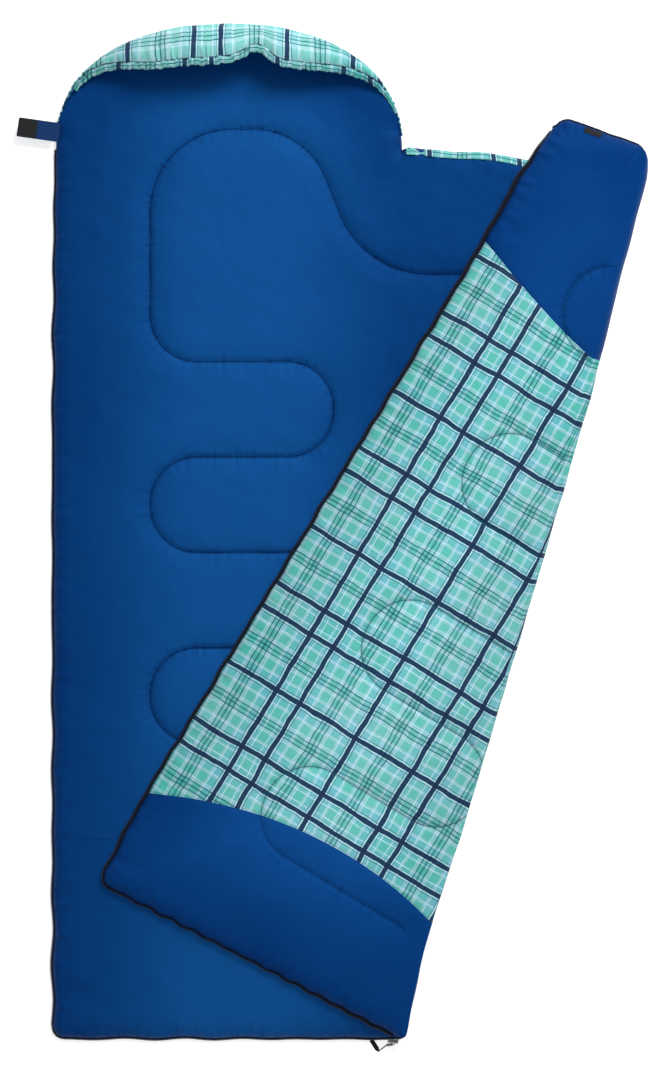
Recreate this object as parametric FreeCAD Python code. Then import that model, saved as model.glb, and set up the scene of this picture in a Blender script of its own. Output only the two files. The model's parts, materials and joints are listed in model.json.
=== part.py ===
"""Rectangular (envelope) sleeping bag with a hood, lying open on its back.

The bag is one long quilt folded along its right side. The lower half, the
base, ends in a cupped hood. The upper half is opened out to the right about
the side line and turned back over itself along a slanting fold. Each quilt is
an outer shell, a batting and a lining, sewn together at a thin seam.

Frame: millimetres. The origin lies on the ground under the middle of the
bag's width, +Y runs from the foot to the hood, +X towards the side line, +Z up.
"""
import FreeCAD, Part
import math
import os

Vector = FreeCAD.Vector

# ---- base quilt ----
LEFT_X = -380.0             # zip edge of the base
SIDE_X = 375.0              # side line, where the top quilt hinges
FOOT_Y = -947.0             # foot edge
HEAD_Y = 962.0              # line where the hood begins
QUILT_LOFT = 24.0           # thickness of one padded quilt
FABRIC = 0.8                # shell and lining cloth
SEAM_Z = 8.0                # height of the edge seam above the quilt's underside
LAYER_GAP = 1.2             # air between the base and the layer lying on it
HINGE_CLEARANCE = 0.3       # half of the slit at each fold line
FOOT_CORNER_R = 22.0
TOP_ROUNDING = 14.0         # loft rounding above the seam
BOTTOM_ROUNDING = 6.0       # loft rounding below the seam
OVERRUN = 80.0              # how far cutters and uncut outlines run past an edge

# ---- turned-back top quilt ----
FOLD_ANGLE = 74.7           # slanting fold, degrees from +X, through the side/foot corner
ZIP_EDGE_ANGLE = 58.9       # the turned-back zip edge, degrees from +X
FLAP_FOOT_ANGLE = 152.7     # the turned-back foot edge, degrees from +X
FLAP_FOOT_WIDTH = 735.0
FLAP_LENGTH = 1916.0
FLAP_HEAD_TURN = 79.3       # from the zip edge to the head edge
HEAD_SIDE_Y = 968.5         # head edge of the top quilt at the side line
FLAP_CORNER_R = 24.0
HEAD_SAG = (640.0, 935.0)   # lowest place of the opened part's head edge, and its rounding
HEAD_SAG_R = 600.0
YOKE_DEPTH_EDGE = 315.0     # plain head yoke, measured from the head edge
YOKE_DEPTH_MIDDLE = 419.0
YOKE_ROUNDNESS = 1.4        # exponent of the seam's bow
FOOT_PANEL_EDGE = 218.0     # plain foot panel, measured from the foot edge
FOOT_PANEL_MIDDLE = 300.0
FOOT_PANEL_ROUNDNESS = 2.0
PANEL_SEAM_STEPS = 8
BAG_WIDTH = SIDE_X - LEFT_X

# ---- hood ----
HOOD_HALF_WIDTH = 372.0
HOOD_DEPTH = 218.0
HOOD_POWER = 2.3            # exponent of the superellipse that bounds its floor
HOOD_WALL_HALF = 6.5        # half thickness of the cupped wall
HOOD_STATIONS = 33
HOOD_FACETS = 14            # flats across the cupped wall
SMALL_TURN = 0.001          # radians, keeps the outline off its vertical tangents
HOOD_END_ANGLE = 18.0       # the wall starts and stops this far above the side lines
HOOD_MIN_CURL = 0.22
# Centre line of the cupped wall where it is fullest: outward distance and height.
HOOD_CURL = [(0, 12), (22, 18), (38, 38), (40, 62), (28, 86), (0, 100), (-30, 104), (-48, 100)]
CHANNEL_R = 6.0             # gathered channel along the rim
CHANNEL_WALL = 1.2
ELASTIC_R = 2.0
LAYER_CLEARANCE = 0.1       # between the curved layers of the hood
HOOD_LIFT = 0.3             # keeps the wall's curved underside off the ground
HOOD_FLOOR_STEPS = 40
HOOD_ROOT_POINTS = 3        # curl points over which the wall thins from the quilt's loft

# ---- trims ----
HEM_WIDTH = 17.0            # patterned hem inside the top quilt's head edge
HEM_THICKNESS = 0.6
BINDING_WIDTH = 5.0         # black binding on the head edge
BINDING_HEIGHT = 5.0
THREAD_WIDTH = 1.0
THREAD_HEIGHT = 0.4
QUILT_ROW = 205.0           # spacing of the quilting rows
QUILT_TURN_R = 100.0
QUILT_LEFT_X = -172.0
QUILT_RIGHT_X = 222.0
QUILT_FIRST_ROW_Y = 506.0
QUILT_ROWS = 6
QUILT_SWEEP = (287.0, 694.0, 205.0)     # x, y and radius where the line leaves for the side
QUILT_CROWN_RIGHT = (163.0, 1006.0, 170.0)
QUILT_CROWN_LEFT = (-172.0, 1006.0, 178.0)
FLAP_FIRST_ROW = 251.0      # up from the zip's foot corner
FLAP_ROW = 208.0
FLAP_ROWS = 8
FLAP_ROW_ENDS = (208.0, 602.0)          # in from the zip edge

# ---- zip ----
TAPE_THICKNESS = 0.8
COIL_WIDTH = 3.0
COIL_HEIGHT = 2.4
BASE_TAPE_WIDTH = 4.0       # rolled under along the base
FLAP_TAPE_WIDTH = 11.0
ZIP_TOP_Y = 985.0           # head end of the base half
SLIDER_X = 350.0
SLIDER_LENGTH = 22.0
SLIDER_PLATE = 1.4
SLIDER_GAP = 3.2            # between the two plates, around the coil
SLIDER_INNER = 1.2          # from the foot edge to the plates
SLIDER_OUTER = 12.0
PULL_EYE = (337.0, -963.5)
PULL_TIP = (319.0, -977.0)
PULL_WIDTH = 6.0
PULL_THICKNESS = 1.6
PULL_Z = 2.2
LOOP_WIDTH = 2.4            # the doubled line between the pull and the ribbon
LOOP_THICKNESS = 1.6
RIBBON_END = (303.5, -953.0)
RIBBON_WIDTH = 8.6
RIBBON_THICKNESS = 1.0
RIBBON_Z = 0.3

# ---- head closure ----
TAB_ROOT = (-366.0, 997.0)  # middle of the sewn end
TAB_LENGTH = 90.0
TAB_WIDTH = 41.0
TAB_ANGLE = 172.0           # direction in which it points
TAB_THICKNESS = 1.6
HOOK_LENGTH = 42.0
HOOK_THICKNESS = 1.2
LOOP_PATCH = (43.0, 14.0)
LOOP_FROM_CORNER = 48.0     # along the head edge, from the zip corner

TOP_Z = QUILT_LOFT
FLAP_Z = QUILT_LOFT + LAYER_GAP


def vec(point, z=0.0):
    """Point of the plan at height z."""
    return Vector(point[0], point[1], z)


def along(point, angle, distance):
    """Plan point at a distance in a direction given in degrees."""
    turn = math.radians(angle)
    return (point[0] + distance * math.cos(turn), point[1] + distance * math.sin(turn))


def meet(first, first_angle, second, second_angle):
    """Plan point where two lines, each a point and an angle, cross."""
    ax, ay = math.cos(math.radians(first_angle)), math.sin(math.radians(first_angle))
    bx, by = math.cos(math.radians(second_angle)), math.sin(math.radians(second_angle))
    dx, dy = second[0] - first[0], second[1] - first[1]
    step = (dx * by - dy * bx) / (ax * by - ay * bx)
    return (first[0] + step * ax, first[1] + step * ay)


def rounded_wire(corners, radius, closed, z=0.0):
    """Wire through the corners, each turned with a tangent arc of the radius, or of its own."""
    count = len(corners)
    radii = [corner[2] if len(corner) > 2 else radius for corner in corners]
    edges = []
    last = None if closed else vec(corners[0], z)
    first = None
    turns = range(count) if closed else range(1, count - 1)
    for index in turns:
        here = vec(corners[index], z)
        back = (vec(corners[index - 1], z) - here).normalize()
        ahead = (vec(corners[(index + 1) % count], z) - here).normalize()
        half = back.getAngle(ahead) / 2
        reach = radii[index] / math.tan(half)
        start = here + back * reach
        end = here + ahead * reach
        middle_way = (back + ahead).normalize()
        middle = here + middle_way * (radii[index] / math.sin(half) - radii[index])
        if last is not None:
            edges.append(Part.makeLine(last, start))
        first = first or start
        edges.append(Part.Arc(start, middle, end).toShape())
        last = end
    edges.append(Part.makeLine(last, first if closed else vec(corners[-1], z)))
    return Part.Wire(edges)


def prism(corners, low, high, radius=0.0):
    """Upright prism over a plan outline, with rounded corners if asked."""
    if radius:
        wire = rounded_wire(corners, radius, True, low)
    else:
        wire = Part.makePolygon([vec(point, low) for point in corners + corners[:1]])
    return Part.Face(wire).extrude(Vector(0, 0, high - low))


def side_of_line(point, angle, low, high, left):
    """Big block on the left or right of a plan line, clear of it by the hinge clearance."""
    reach = 3 * FLAP_LENGTH
    out = 90 if left else -90
    start = along(along(point, angle, -reach), angle + out, HINGE_CLEARANCE)
    end = along(start, angle, 2 * reach)
    return prism([start, end, along(end, angle + out, reach), along(start, angle + out, reach)], low, high)


def pillow(corners, radius, base_z, inset=0.0, top_round=TOP_ROUNDING, bottom_round=BOTTOM_ROUNDING):
    """Quilt shape: a slab whose upper and lower rims are rounded down to the seam."""
    face = Part.Face(rounded_wire(corners, radius, True, base_z + inset))
    if inset:
        face = face.makeOffset2D(-inset)
    slab = face.extrude(Vector(0, 0, QUILT_LOFT - 2 * inset))
    top = [edge for edge in slab.Edges if edge.BoundBox.ZMin > base_z + QUILT_LOFT - inset - 0.01]
    slab = slab.makeFillet(top_round - inset, top)
    bottom = [edge for edge in slab.Edges if edge.BoundBox.ZMax < base_z + inset + 0.01]
    return slab.makeFillet(bottom_round - inset, bottom)


def quilt_layers(corners, radius, base_z, keep):
    """Lower cloth, batting and upper cloth of one quilt, cut to the kept regions."""
    outer = pillow(corners, radius, base_z)
    inner = pillow(corners, radius, base_z, FABRIC)
    for region in keep:
        outer = outer.common(region)
        inner = inner.common(region)
    skin = outer.cut(inner)
    seam = base_z + SEAM_Z
    box = outer.BoundBox
    low_corner = Vector(box.XMin - 1, box.YMin - 1, seam - SEAM_Z - 1)
    below = Part.makeBox(box.XLength + 2, box.YLength + 2, SEAM_Z + 1, low_corner)
    return skin.common(below), inner, skin.cut(below)


# ---- outlines ----
CORNER = (SIDE_X, FOOT_Y)
FLAP_FOOT_ZIP = along(CORNER, FLAP_FOOT_ANGLE, FLAP_FOOT_WIDTH)
FLAP_HEAD_ZIP = along(FLAP_FOOT_ZIP, ZIP_EDGE_ANGLE, FLAP_LENGTH)
FOLD_HEAD = meet(FLAP_HEAD_ZIP, ZIP_EDGE_ANGLE - FLAP_HEAD_TURN, CORNER, FOLD_ANGLE)
SIDE_HEAD = (SIDE_X, HEAD_SIDE_Y)
SAG_DOWN_ANGLE = math.degrees(math.atan2(HEAD_SAG[1] - HEAD_SIDE_Y, HEAD_SAG[0] - SIDE_X))
SAG_UP_ANGLE = math.degrees(math.atan2(FOLD_HEAD[1] - HEAD_SAG[1], FOLD_HEAD[0] - HEAD_SAG[0]))


def base_corners():
    """Base outline, run on past the side line and the hood."""
    high = HEAD_Y + HOOD_DEPTH + OVERRUN
    return [(LEFT_X, FOOT_Y), (SIDE_X + OVERRUN, FOOT_Y), (SIDE_X + OVERRUN, high), (LEFT_X, high)]


def hood_rim_point(turn, outward=0.0):
    """Point of the hood floor's outline and its outward direction, turn in radians from +X."""
    power = 2 / HOOD_POWER
    x = math.copysign(HOOD_HALF_WIDTH * abs(math.cos(turn)) ** power, math.cos(turn))
    y = HOOD_DEPTH * math.sin(turn) ** power
    nx = math.copysign((abs(x) / HOOD_HALF_WIDTH) ** (HOOD_POWER - 1) / HOOD_HALF_WIDTH, x)
    ny = (y / HOOD_DEPTH) ** (HOOD_POWER - 1) / HOOD_DEPTH
    size = math.hypot(nx, ny)
    middle = (LEFT_X + SIDE_X) / 2
    point = (middle + x + outward * nx / size, HEAD_Y + y + outward * ny / size)
    return point, (nx / size, ny / size)


def base_region():
    """Prism over the base: its rectangle and the hood's curved floor."""
    points = []
    for index in range(HOOD_FLOOR_STEPS + 1):
        turn = math.pi * index / HOOD_FLOOR_STEPS
        turn = min(max(turn, SMALL_TURN), math.pi - SMALL_TURN)
        points.append(vec(hood_rim_point(turn)[0], -1))
    curve = Part.BSplineCurve()
    curve.interpolate(points)
    right, left = points[0], points[-1]
    low = FOOT_Y - OVERRUN
    line = Part.makePolygon([
        left, Vector(LEFT_X - 1, left.y, -1), Vector(LEFT_X - 1, low, -1),
        Vector(SIDE_X - HINGE_CLEARANCE, low, -1), Vector(SIDE_X - HINGE_CLEARANCE, right.y, -1), right,
    ])
    wire = Part.Wire([curve.toShape()] + line.Edges)
    return Part.Face(wire).extrude(Vector(0, 0, QUILT_LOFT + 2))


def base_parts():
    """The lower quilt: shell, batting and lining, with the hood's floor."""
    shell, batting, lining = quilt_layers(base_corners(), FOOT_CORNER_R, 0.0, [base_region()])
    low_corner = Vector(-BAG_WIDTH, FOOT_Y - OVERRUN, -1)
    foot = Part.makeBox(2 * BAG_WIDTH, FOOT_PANEL_MIDDLE + OVERRUN, QUILT_LOFT, low_corner)
    return {
        "base_outer_shell": shell.cut(foot),
        "base_foot_panel": shell.common(foot),
        "base_insulation": batting,
        "base_lining": lining,
    }


# ---- hood ----
def hood_curl_scale(turn):
    """How full the cupped wall is at a place along the rim."""
    return max(HOOD_MIN_CURL, math.sin(turn) ** 2)


def hood_spine(turn):
    """Centre line of the wall's section at a place along the rim: outward distance and height."""
    scale = hood_curl_scale(turn)
    low = HOOD_CURL[0][1]
    return [(s * scale, low + (z - low) * scale) for s, z in HOOD_CURL]


def hood_profile(turn, faces):
    """Outer and inner curves of one layer: each face gives its place for a half thickness."""
    spine = hood_spine(turn)
    count = len(spine)
    sides = ([], [])
    for index, (s, z) in enumerate(spine):
        before = spine[max(index - 1, 0)]
        after = spine[min(index + 1, count - 1)]
        ts, tz = after[0] - before[0], after[1] - before[1]
        if index == 0:
            ts, tz = 1.0, 0.0
        size = math.hypot(ts, tz)
        ease = max(0.0, 1 - index / HOOD_ROOT_POINTS)
        half = HOOD_WALL_HALF + (QUILT_LOFT / 2 - HOOD_WALL_HALF) * ease
        for side, face in zip(sides, faces):
            away = face(half)
            side.append((s + tz / size * away, z - ts / size * away))
    return sides


def hood_layer(outer_face, inner_face):
    """One layer of the cupped wall, between two of its faces."""
    wires = []
    low = math.radians(HOOD_END_ANGLE)
    for station in range(HOOD_STATIONS):
        turn = low + (math.pi - 2 * low) * station / (HOOD_STATIONS - 1)
        root, out = hood_rim_point(turn, HINGE_CLEARANCE)
        runs = []
        for side in hood_profile(turn, (outer_face, inner_face)):
            points = [Vector(root[0] + s * out[0], root[1] + s * out[1], z + HOOD_LIFT) for s, z in side]
            curve = Part.BSplineCurve()
            curve.interpolate(points)
            runs.append(curve.discretize(HOOD_FACETS))
        ring = runs[0] + runs[1][::-1]
        wires.append(Part.makePolygon(ring + ring[:1]))
    return Part.makeLoft(wires, True, True)


def hood_rim_path():
    """Points along the middle of the gathered rim channel."""
    points = []
    low = math.radians(HOOD_END_ANGLE)
    for station in range(HOOD_STATIONS):
        turn = low + (math.pi - 2 * low) * station / (HOOD_STATIONS - 1)
        s, z = hood_spine(turn)[-1]
        root, out = hood_rim_point(turn, HINGE_CLEARANCE)
        reach = s - CHANNEL_R - LAYER_CLEARANCE - HOOD_WALL_HALF
        points.append(Vector(root[0] + reach * out[0], root[1] + reach * out[1], HOOD_LIFT + z))
    return points


def rim_tube(radius):
    """Round bar along the rim."""
    curve = Part.BSplineCurve()
    curve.interpolate(hood_rim_path())
    spine = Part.Wire([curve.toShape()])
    start = curve.value(curve.FirstParameter)
    tangent = curve.tangent(curve.FirstParameter)[0]
    ring = Part.Wire([Part.makeCircle(radius, start, tangent)])
    return spine.makePipeShell([ring], True, True)


def hood_parts():
    """The cupped wall round the head, its gathered channel and the elastic inside it."""
    cloth = FABRIC
    filled = FABRIC + LAYER_CLEARANCE
    return {
        "hood_outer_shell": hood_layer(lambda half: half, lambda half: half - cloth),
        "hood_insulation": hood_layer(lambda half: half - filled, lambda half: filled - half),
        "hood_lining": hood_layer(lambda half: cloth - half, lambda half: -half),
        "hood_channel": rim_tube(CHANNEL_R).cut(rim_tube(CHANNEL_R - CHANNEL_WALL)),
        "hood_elastic": rim_tube(ELASTIC_R),
    }


# ---- opened part of the top quilt ----
def top_side_parts():
    """The triangle between the side line and the slanting fold, lining upwards."""
    past_fold = along(FOLD_HEAD, SAG_UP_ANGLE, 2 * OVERRUN)
    before_side = along(SIDE_HEAD, SAG_DOWN_ANGLE, -OVERRUN)
    corners = [(SIDE_X - OVERRUN, FOOT_Y - OVERRUN), (past_fold[0], FOOT_Y - OVERRUN), past_fold,
               (*HEAD_SAG, HEAD_SAG_R), before_side]
    keep = [
        side_of_line(CORNER, 90, -1, QUILT_LOFT + 1, False),
        side_of_line(CORNER, FOLD_ANGLE, -1, QUILT_LOFT + 1, True),
    ]
    shell, batting, lining = quilt_layers(corners, FLAP_CORNER_R, 0.0, keep)
    yoke_low = HEAD_SIDE_Y - YOKE_DEPTH_MIDDLE
    foot_high = FOOT_Y + FOOT_PANEL_EDGE
    span = Part.makeBox(4 * BAG_WIDTH, 3 * FLAP_LENGTH, 2 * QUILT_LOFT, Vector(0, yoke_low, -1))
    low_corner = Vector(0, FOOT_Y - OVERRUN, -1)
    foot = Part.makeBox(4 * BAG_WIDTH, FOOT_PANEL_EDGE + OVERRUN, 2 * QUILT_LOFT, low_corner)
    upper, lower = [], []
    for point, angle in ((SIDE_HEAD, SAG_DOWN_ANGLE), (HEAD_SAG, (SAG_DOWN_ANGLE + SAG_UP_ANGLE) / 2),
                         (past_fold, SAG_UP_ANGLE)):
        upper.append(along(point, angle - 90, TOP_ROUNDING))
        lower.append(along(point, angle - 90, TOP_ROUNDING + HEM_WIDTH))
    hem_plan = upper + lower[::-1]
    hem = prism(hem_plan, TOP_Z, TOP_Z + HEM_THICKNESS)
    for region in (side_of_line(CORNER, 90, 0, 2 * QUILT_LOFT, False),
                   side_of_line(CORNER, FOLD_ANGLE, 0, 2 * QUILT_LOFT, True)):
        hem = hem.common(region)
    return {
        "top_side_yoke": shell.common(span),
        "top_side_shell": shell.cut(span).cut(foot),
        "top_side_foot_panel": shell.common(foot),
        "top_side_insulation": batting,
        "top_side_lining": lining,
        "top_side_head_hem": hem,
    }


# ---- turned-back part of the top quilt ----
def flap_plan(inward, upward):
    """Plan point at a distance in from the zip edge and up from the foot corner along it."""
    return along(along(FLAP_FOOT_ZIP, ZIP_EDGE_ANGLE, upward), ZIP_EDGE_ANGLE - 90, inward)


def panel_line(edge_depth, middle_depth, from_head, power):
    """Curved seam between panels, symmetric about the middle of the top quilt."""
    points = []
    for index in range(-1, PANEL_SEAM_STEPS + 2):
        across = index / PANEL_SEAM_STEPS
        swing = abs(2 * across - 1)
        depth = edge_depth + (middle_depth - edge_depth) * (1 - swing ** power)
        upward = FLAP_LENGTH - depth if from_head else depth
        if not from_head:
            slant = FLAP_FOOT_ANGLE - ZIP_EDGE_ANGLE - 90
            upward += across * BAG_WIDTH * math.tan(math.radians(slant))
        points.append(vec(flap_plan(across * BAG_WIDTH, upward), FLAP_Z - 1))
    return points


def panel_region(points, upward):
    """Prism from a panel seam out past the head or foot edge."""
    curve = Part.BSplineCurve()
    curve.interpolate(points)
    far_end = vec(flap_plan(BAG_WIDTH + 2 * OVERRUN, upward), FLAP_Z - 1)
    far_start = vec(flap_plan(-2 * OVERRUN, upward), FLAP_Z - 1)
    line = Part.makePolygon([points[-1], far_end, far_start, points[0]])
    return Part.Face(Part.Wire([curve.toShape()] + line.Edges)).extrude(Vector(0, 0, QUILT_LOFT + 2))


def flap_corners():
    """Outline of the turned-back quilt, run on past the slanting fold."""
    foot_end = along(CORNER, FLAP_FOOT_ANGLE + 180, OVERRUN)
    head_end = along(FOLD_HEAD, ZIP_EDGE_ANGLE - FLAP_HEAD_TURN, OVERRUN)
    return [FLAP_FOOT_ZIP, foot_end, head_end, FLAP_HEAD_ZIP]


def flap_parts():
    """The turned-back quilt, outer cloth upwards, in its three sewn panels."""
    keep = [side_of_line(CORNER, FOLD_ANGLE, FLAP_Z - 1, FLAP_Z + QUILT_LOFT + 1, True)]
    lining, batting, outer = quilt_layers(flap_corners(), FLAP_CORNER_R, FLAP_Z, keep)
    yoke_seam = panel_line(YOKE_DEPTH_EDGE, YOKE_DEPTH_MIDDLE, True, YOKE_ROUNDNESS)
    foot_seam = panel_line(FOOT_PANEL_EDGE, FOOT_PANEL_MIDDLE, False, FOOT_PANEL_ROUNDNESS)
    yoke = panel_region(yoke_seam, FLAP_LENGTH + OVERRUN)
    foot = panel_region(foot_seam, -BAG_WIDTH)
    return {
        "flap_yoke": outer.common(yoke),
        "flap_shell": outer.cut(yoke).cut(foot),
        "flap_foot_panel": outer.common(foot),
        "flap_insulation": batting,
        "flap_lining": lining,
    }


# ---- quilting ----
def thread_solid(corners, z, keep):
    """Line of stitches lying on the cloth, following a rounded meander."""
    path = rounded_wire(corners, QUILT_TURN_R, False, z)
    start = path.Edges[0].valueAt(path.Edges[0].FirstParameter)
    tangent = path.Edges[0].tangentAt(path.Edges[0].FirstParameter)
    across = Vector(-tangent.y, tangent.x, 0) * (THREAD_WIDTH / 2)
    up = Vector(0, 0, THREAD_HEIGHT)
    ring = [start - across, start + across, start + across + up, start - across + up]
    section = Part.makePolygon(ring + ring[:1])
    solid = path.makePipeShell([section], True, True)
    for region in keep:
        solid = solid.common(region)
    return solid


def base_quilting_corners():
    """Meander on the base lining: in from the side line, round the head, then to and fro."""
    corners = [(SIDE_X + OVERRUN, QUILT_SWEEP[1]), QUILT_SWEEP, QUILT_CROWN_RIGHT, QUILT_CROWN_LEFT]
    left = True
    for row in range(QUILT_ROWS):
        y = QUILT_FIRST_ROW_Y - row * QUILT_ROW
        here, there = (QUILT_LEFT_X, QUILT_RIGHT_X) if left else (QUILT_RIGHT_X, QUILT_LEFT_X)
        corners += [(here, y), (there, y)]
        left = not left
    return corners


def flap_quilting_corners():
    """Meander on the turned-back quilt, to and fro from the foot to the head."""
    corners = []
    for row in range(FLAP_ROWS):
        upward = FLAP_FIRST_ROW + FLAP_ROW * row
        here, there = FLAP_ROW_ENDS if row % 2 else FLAP_ROW_ENDS[::-1]
        corners += [flap_plan(here, upward), flap_plan(there, upward)]
    return corners


def quilting_parts():
    """Visible stitching of the three rigid parts."""
    beyond_side = side_of_line(CORNER, 90, TOP_Z - 1, TOP_Z + 1, False)
    side_row = [(SIDE_X - OVERRUN, QUILT_SWEEP[1]), (SIDE_X + QUILT_ROW, QUILT_SWEEP[1]),
                (SIDE_X + QUILT_ROW, QUILT_FIRST_ROW_Y), (SIDE_X - OVERRUN, QUILT_FIRST_ROW_Y)]
    flap_inside = side_of_line(along(CORNER, FOLD_ANGLE + 90, TOP_ROUNDING), FOLD_ANGLE,
                               FLAP_Z, FLAP_Z + 2 * QUILT_LOFT, True)
    return {
        "base_quilting_thread": thread_solid(base_quilting_corners(), TOP_Z, [base_region()]),
        "top_side_quilting_thread": thread_solid(side_row, TOP_Z, [beyond_side]),
        "flap_quilting_thread": thread_solid(flap_quilting_corners(), FLAP_Z + QUILT_LOFT, [flap_inside]),
    }


# ---- zip ----
def edge_band(corners, radius, z, height, near, far):
    """Flat band running round outside an outline, between two offsets from it."""
    face = Part.Face(rounded_wire(corners, radius, True, z - height / 2))
    outer = face.makeOffset2D(far)
    inner = face.makeOffset2D(near) if near else face
    return outer.cut(inner).extrude(Vector(0, 0, height))


def zip_half(prefix, corners, radius, z, tape_width, region):
    """Tape and coil of one half of the zip."""
    tape = edge_band(corners, radius, z, TAPE_THICKNESS, 0.0, tape_width)
    coil = edge_band(corners, radius, z, COIL_HEIGHT, tape_width, tape_width + COIL_WIDTH)
    return {prefix + "_zip_tape": tape.common(region), prefix + "_zip_coil": coil.common(region)}


def zip_parts():
    """The two opened halves, each down its side and along the foot."""
    reach = 4 * BAG_WIDTH
    low = FOOT_Y - OVERRUN
    base_run = prism([(-reach, low), (SIDE_X - COIL_WIDTH, low), (SIDE_X - COIL_WIDTH, ZIP_TOP_Y),
                      (-reach, ZIP_TOP_Y)], 0, QUILT_LOFT)
    # The flap half stops at its head corner and short of the fold.
    head_stop = along(FLAP_HEAD_ZIP, ZIP_EDGE_ANGLE, -FLAP_CORNER_R)
    toward_fold = along(head_stop, ZIP_EDGE_ANGLE - 90, reach)
    far_foot = along(toward_fold, ZIP_EDGE_ANGLE + 180, reach)
    flap_run = prism([along(head_stop, ZIP_EDGE_ANGLE + 90, reach), toward_fold, far_foot,
                      along(far_foot, ZIP_EDGE_ANGLE + 90, 2 * reach)], FLAP_Z, FLAP_Z + QUILT_LOFT)
    fold_stop = along(CORNER, FLAP_FOOT_ANGLE, SLIDER_LENGTH)
    flap_run = flap_run.common(side_of_line(fold_stop, FOLD_ANGLE, FLAP_Z, FLAP_Z + QUILT_LOFT, True))
    parts = zip_half("base", base_corners(), FOOT_CORNER_R, SEAM_Z, BASE_TAPE_WIDTH, base_run)
    parts.update(zip_half("flap", flap_corners(), FLAP_CORNER_R, FLAP_Z + SEAM_Z, FLAP_TAPE_WIDTH, flap_run))
    return parts


def strip(start, end, width, low, thickness):
    """Flat strip between two plan points, with rounded corners."""
    angle = math.degrees(math.atan2(end[1] - start[1], end[0] - start[0]))
    half = width / 2
    corners = [along(start, angle - 90, half), along(end, angle - 90, half),
               along(end, angle + 90, half), along(start, angle + 90, half)]
    return prism(corners, low, low + thickness, width / 5)


def slider_parts():
    """Slider on the base's foot coil, its metal pull and the ribbon grip."""
    inner_y = FOOT_Y - SLIDER_INNER
    outer_y = FOOT_Y - SLIDER_OUTER
    bottom = SEAM_Z - SLIDER_GAP / 2 - SLIDER_PLATE
    height = SLIDER_GAP + 2 * SLIDER_PLATE
    block = prism([(SLIDER_X - SLIDER_LENGTH / 2, outer_y), (SLIDER_X + SLIDER_LENGTH / 2, outer_y),
                   (SLIDER_X + SLIDER_LENGTH / 2, inner_y), (SLIDER_X - SLIDER_LENGTH / 2, inner_y)],
                  bottom, bottom + height, 2.0)
    coil_edge = FOOT_Y - BASE_TAPE_WIDTH - COIL_WIDTH - HINGE_CLEARANCE
    tunnel = Part.makeBox(2 * SLIDER_LENGTH, inner_y + 1 - coil_edge, SLIDER_GAP,
                          Vector(SLIDER_X - SLIDER_LENGTH, coil_edge, bottom + SLIDER_PLATE))
    pull_root = (SLIDER_X, outer_y - HINGE_CLEARANCE - PULL_WIDTH / 2)
    pull = strip(pull_root, PULL_EYE, PULL_WIDTH, PULL_Z, PULL_THICKNESS)
    loop_z = PULL_Z - LOOP_THICKNESS - HINGE_CLEARANCE
    loop = strip(PULL_EYE, PULL_TIP, LOOP_WIDTH, loop_z, LOOP_THICKNESS)
    ribbon = strip(PULL_TIP, RIBBON_END, RIBBON_WIDTH, RIBBON_Z, RIBBON_THICKNESS)
    return {
        "zip_slider": block.cut(tunnel),
        "zip_pull": pull,
        "zip_pull_loop": loop,
        "zip_ribbon": ribbon.cut(loop),
    }


# ---- head closure and edge trims ----
def tab_strip(start, end, low, thickness):
    """Stretch of the closure tab between two distances from its sewn end."""
    near = along(TAB_ROOT, TAB_ANGLE, start)
    far = along(TAB_ROOT, TAB_ANGLE, end)
    return strip(near, far, TAB_WIDTH, low, thickness)


def closure_parts():
    """Hook tab at the base's head corner and loop patch on the top quilt's head edge."""
    tab_low = QUILT_LOFT + HINGE_CLEARANCE
    tab = tab_strip(0.0, TAB_LENGTH, tab_low, TAB_THICKNESS)
    hook = tab_strip(TAB_LENGTH - HOOK_LENGTH, TAB_LENGTH, tab_low + TAB_THICKNESS, HOOK_THICKNESS)
    head_turn = ZIP_EDGE_ANGLE - FLAP_HEAD_TURN
    edge = along(FLAP_HEAD_ZIP, head_turn, LOOP_FROM_CORNER)
    start = along(edge, head_turn - 90, TOP_ROUNDING + LOOP_PATCH[1] / 2)
    end = along(start, head_turn, LOOP_PATCH[0])
    loop = strip(start, end, LOOP_PATCH[1], FLAP_Z + QUILT_LOFT, HOOK_THICKNESS)
    return {"closure_tab": tab, "closure_hook_patch": hook, "flap_loop_patch": loop}


def flap_binding():
    """Narrow binding round the turned-back head edge."""
    z = FLAP_Z + SEAM_Z
    band = edge_band(flap_corners(), FLAP_CORNER_R, z, BINDING_HEIGHT, 0.0, BINDING_WIDTH)
    head_turn = ZIP_EDGE_ANGLE - FLAP_HEAD_TURN
    start = along(FLAP_HEAD_ZIP, head_turn, FLAP_CORNER_R)
    run = prism([along(start, head_turn + 90, OVERRUN), along(start, head_turn - 90, OVERRUN),
                 along(along(start, head_turn, BAG_WIDTH), head_turn - 90, OVERRUN),
                 along(along(start, head_turn, BAG_WIDTH), head_turn + 90, OVERRUN)],
                FLAP_Z, FLAP_Z + QUILT_LOFT)
    fold = side_of_line(CORNER, FOLD_ANGLE, FLAP_Z, FLAP_Z + QUILT_LOFT, True)
    return {"flap_head_binding": band.common(run).common(fold)}


def main():
    """Build every sub-part and write it to its own file."""
    os.makedirs("parts", exist_ok=True)
    makers = [base_parts, hood_parts, top_side_parts, flap_parts, quilting_parts,
              zip_parts, slider_parts, closure_parts, flap_binding]
    for maker in makers:
        for name, shape in maker().items():
            shape.exportStep(os.path.join("parts", name + ".step"))


main()
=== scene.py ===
"""Looks of the rectangular sleeping bag: quilts, hood, zip, trims, light and camera.

Lengths are millimetres until a mesh is made, where MM turns them into metres.
Fabric coordinates (the UV map) are metres along and across the cloth as it was cut.
"""
import json
import math
import bmesh
import bpy
import numpy as np
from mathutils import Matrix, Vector, kdtree


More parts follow.
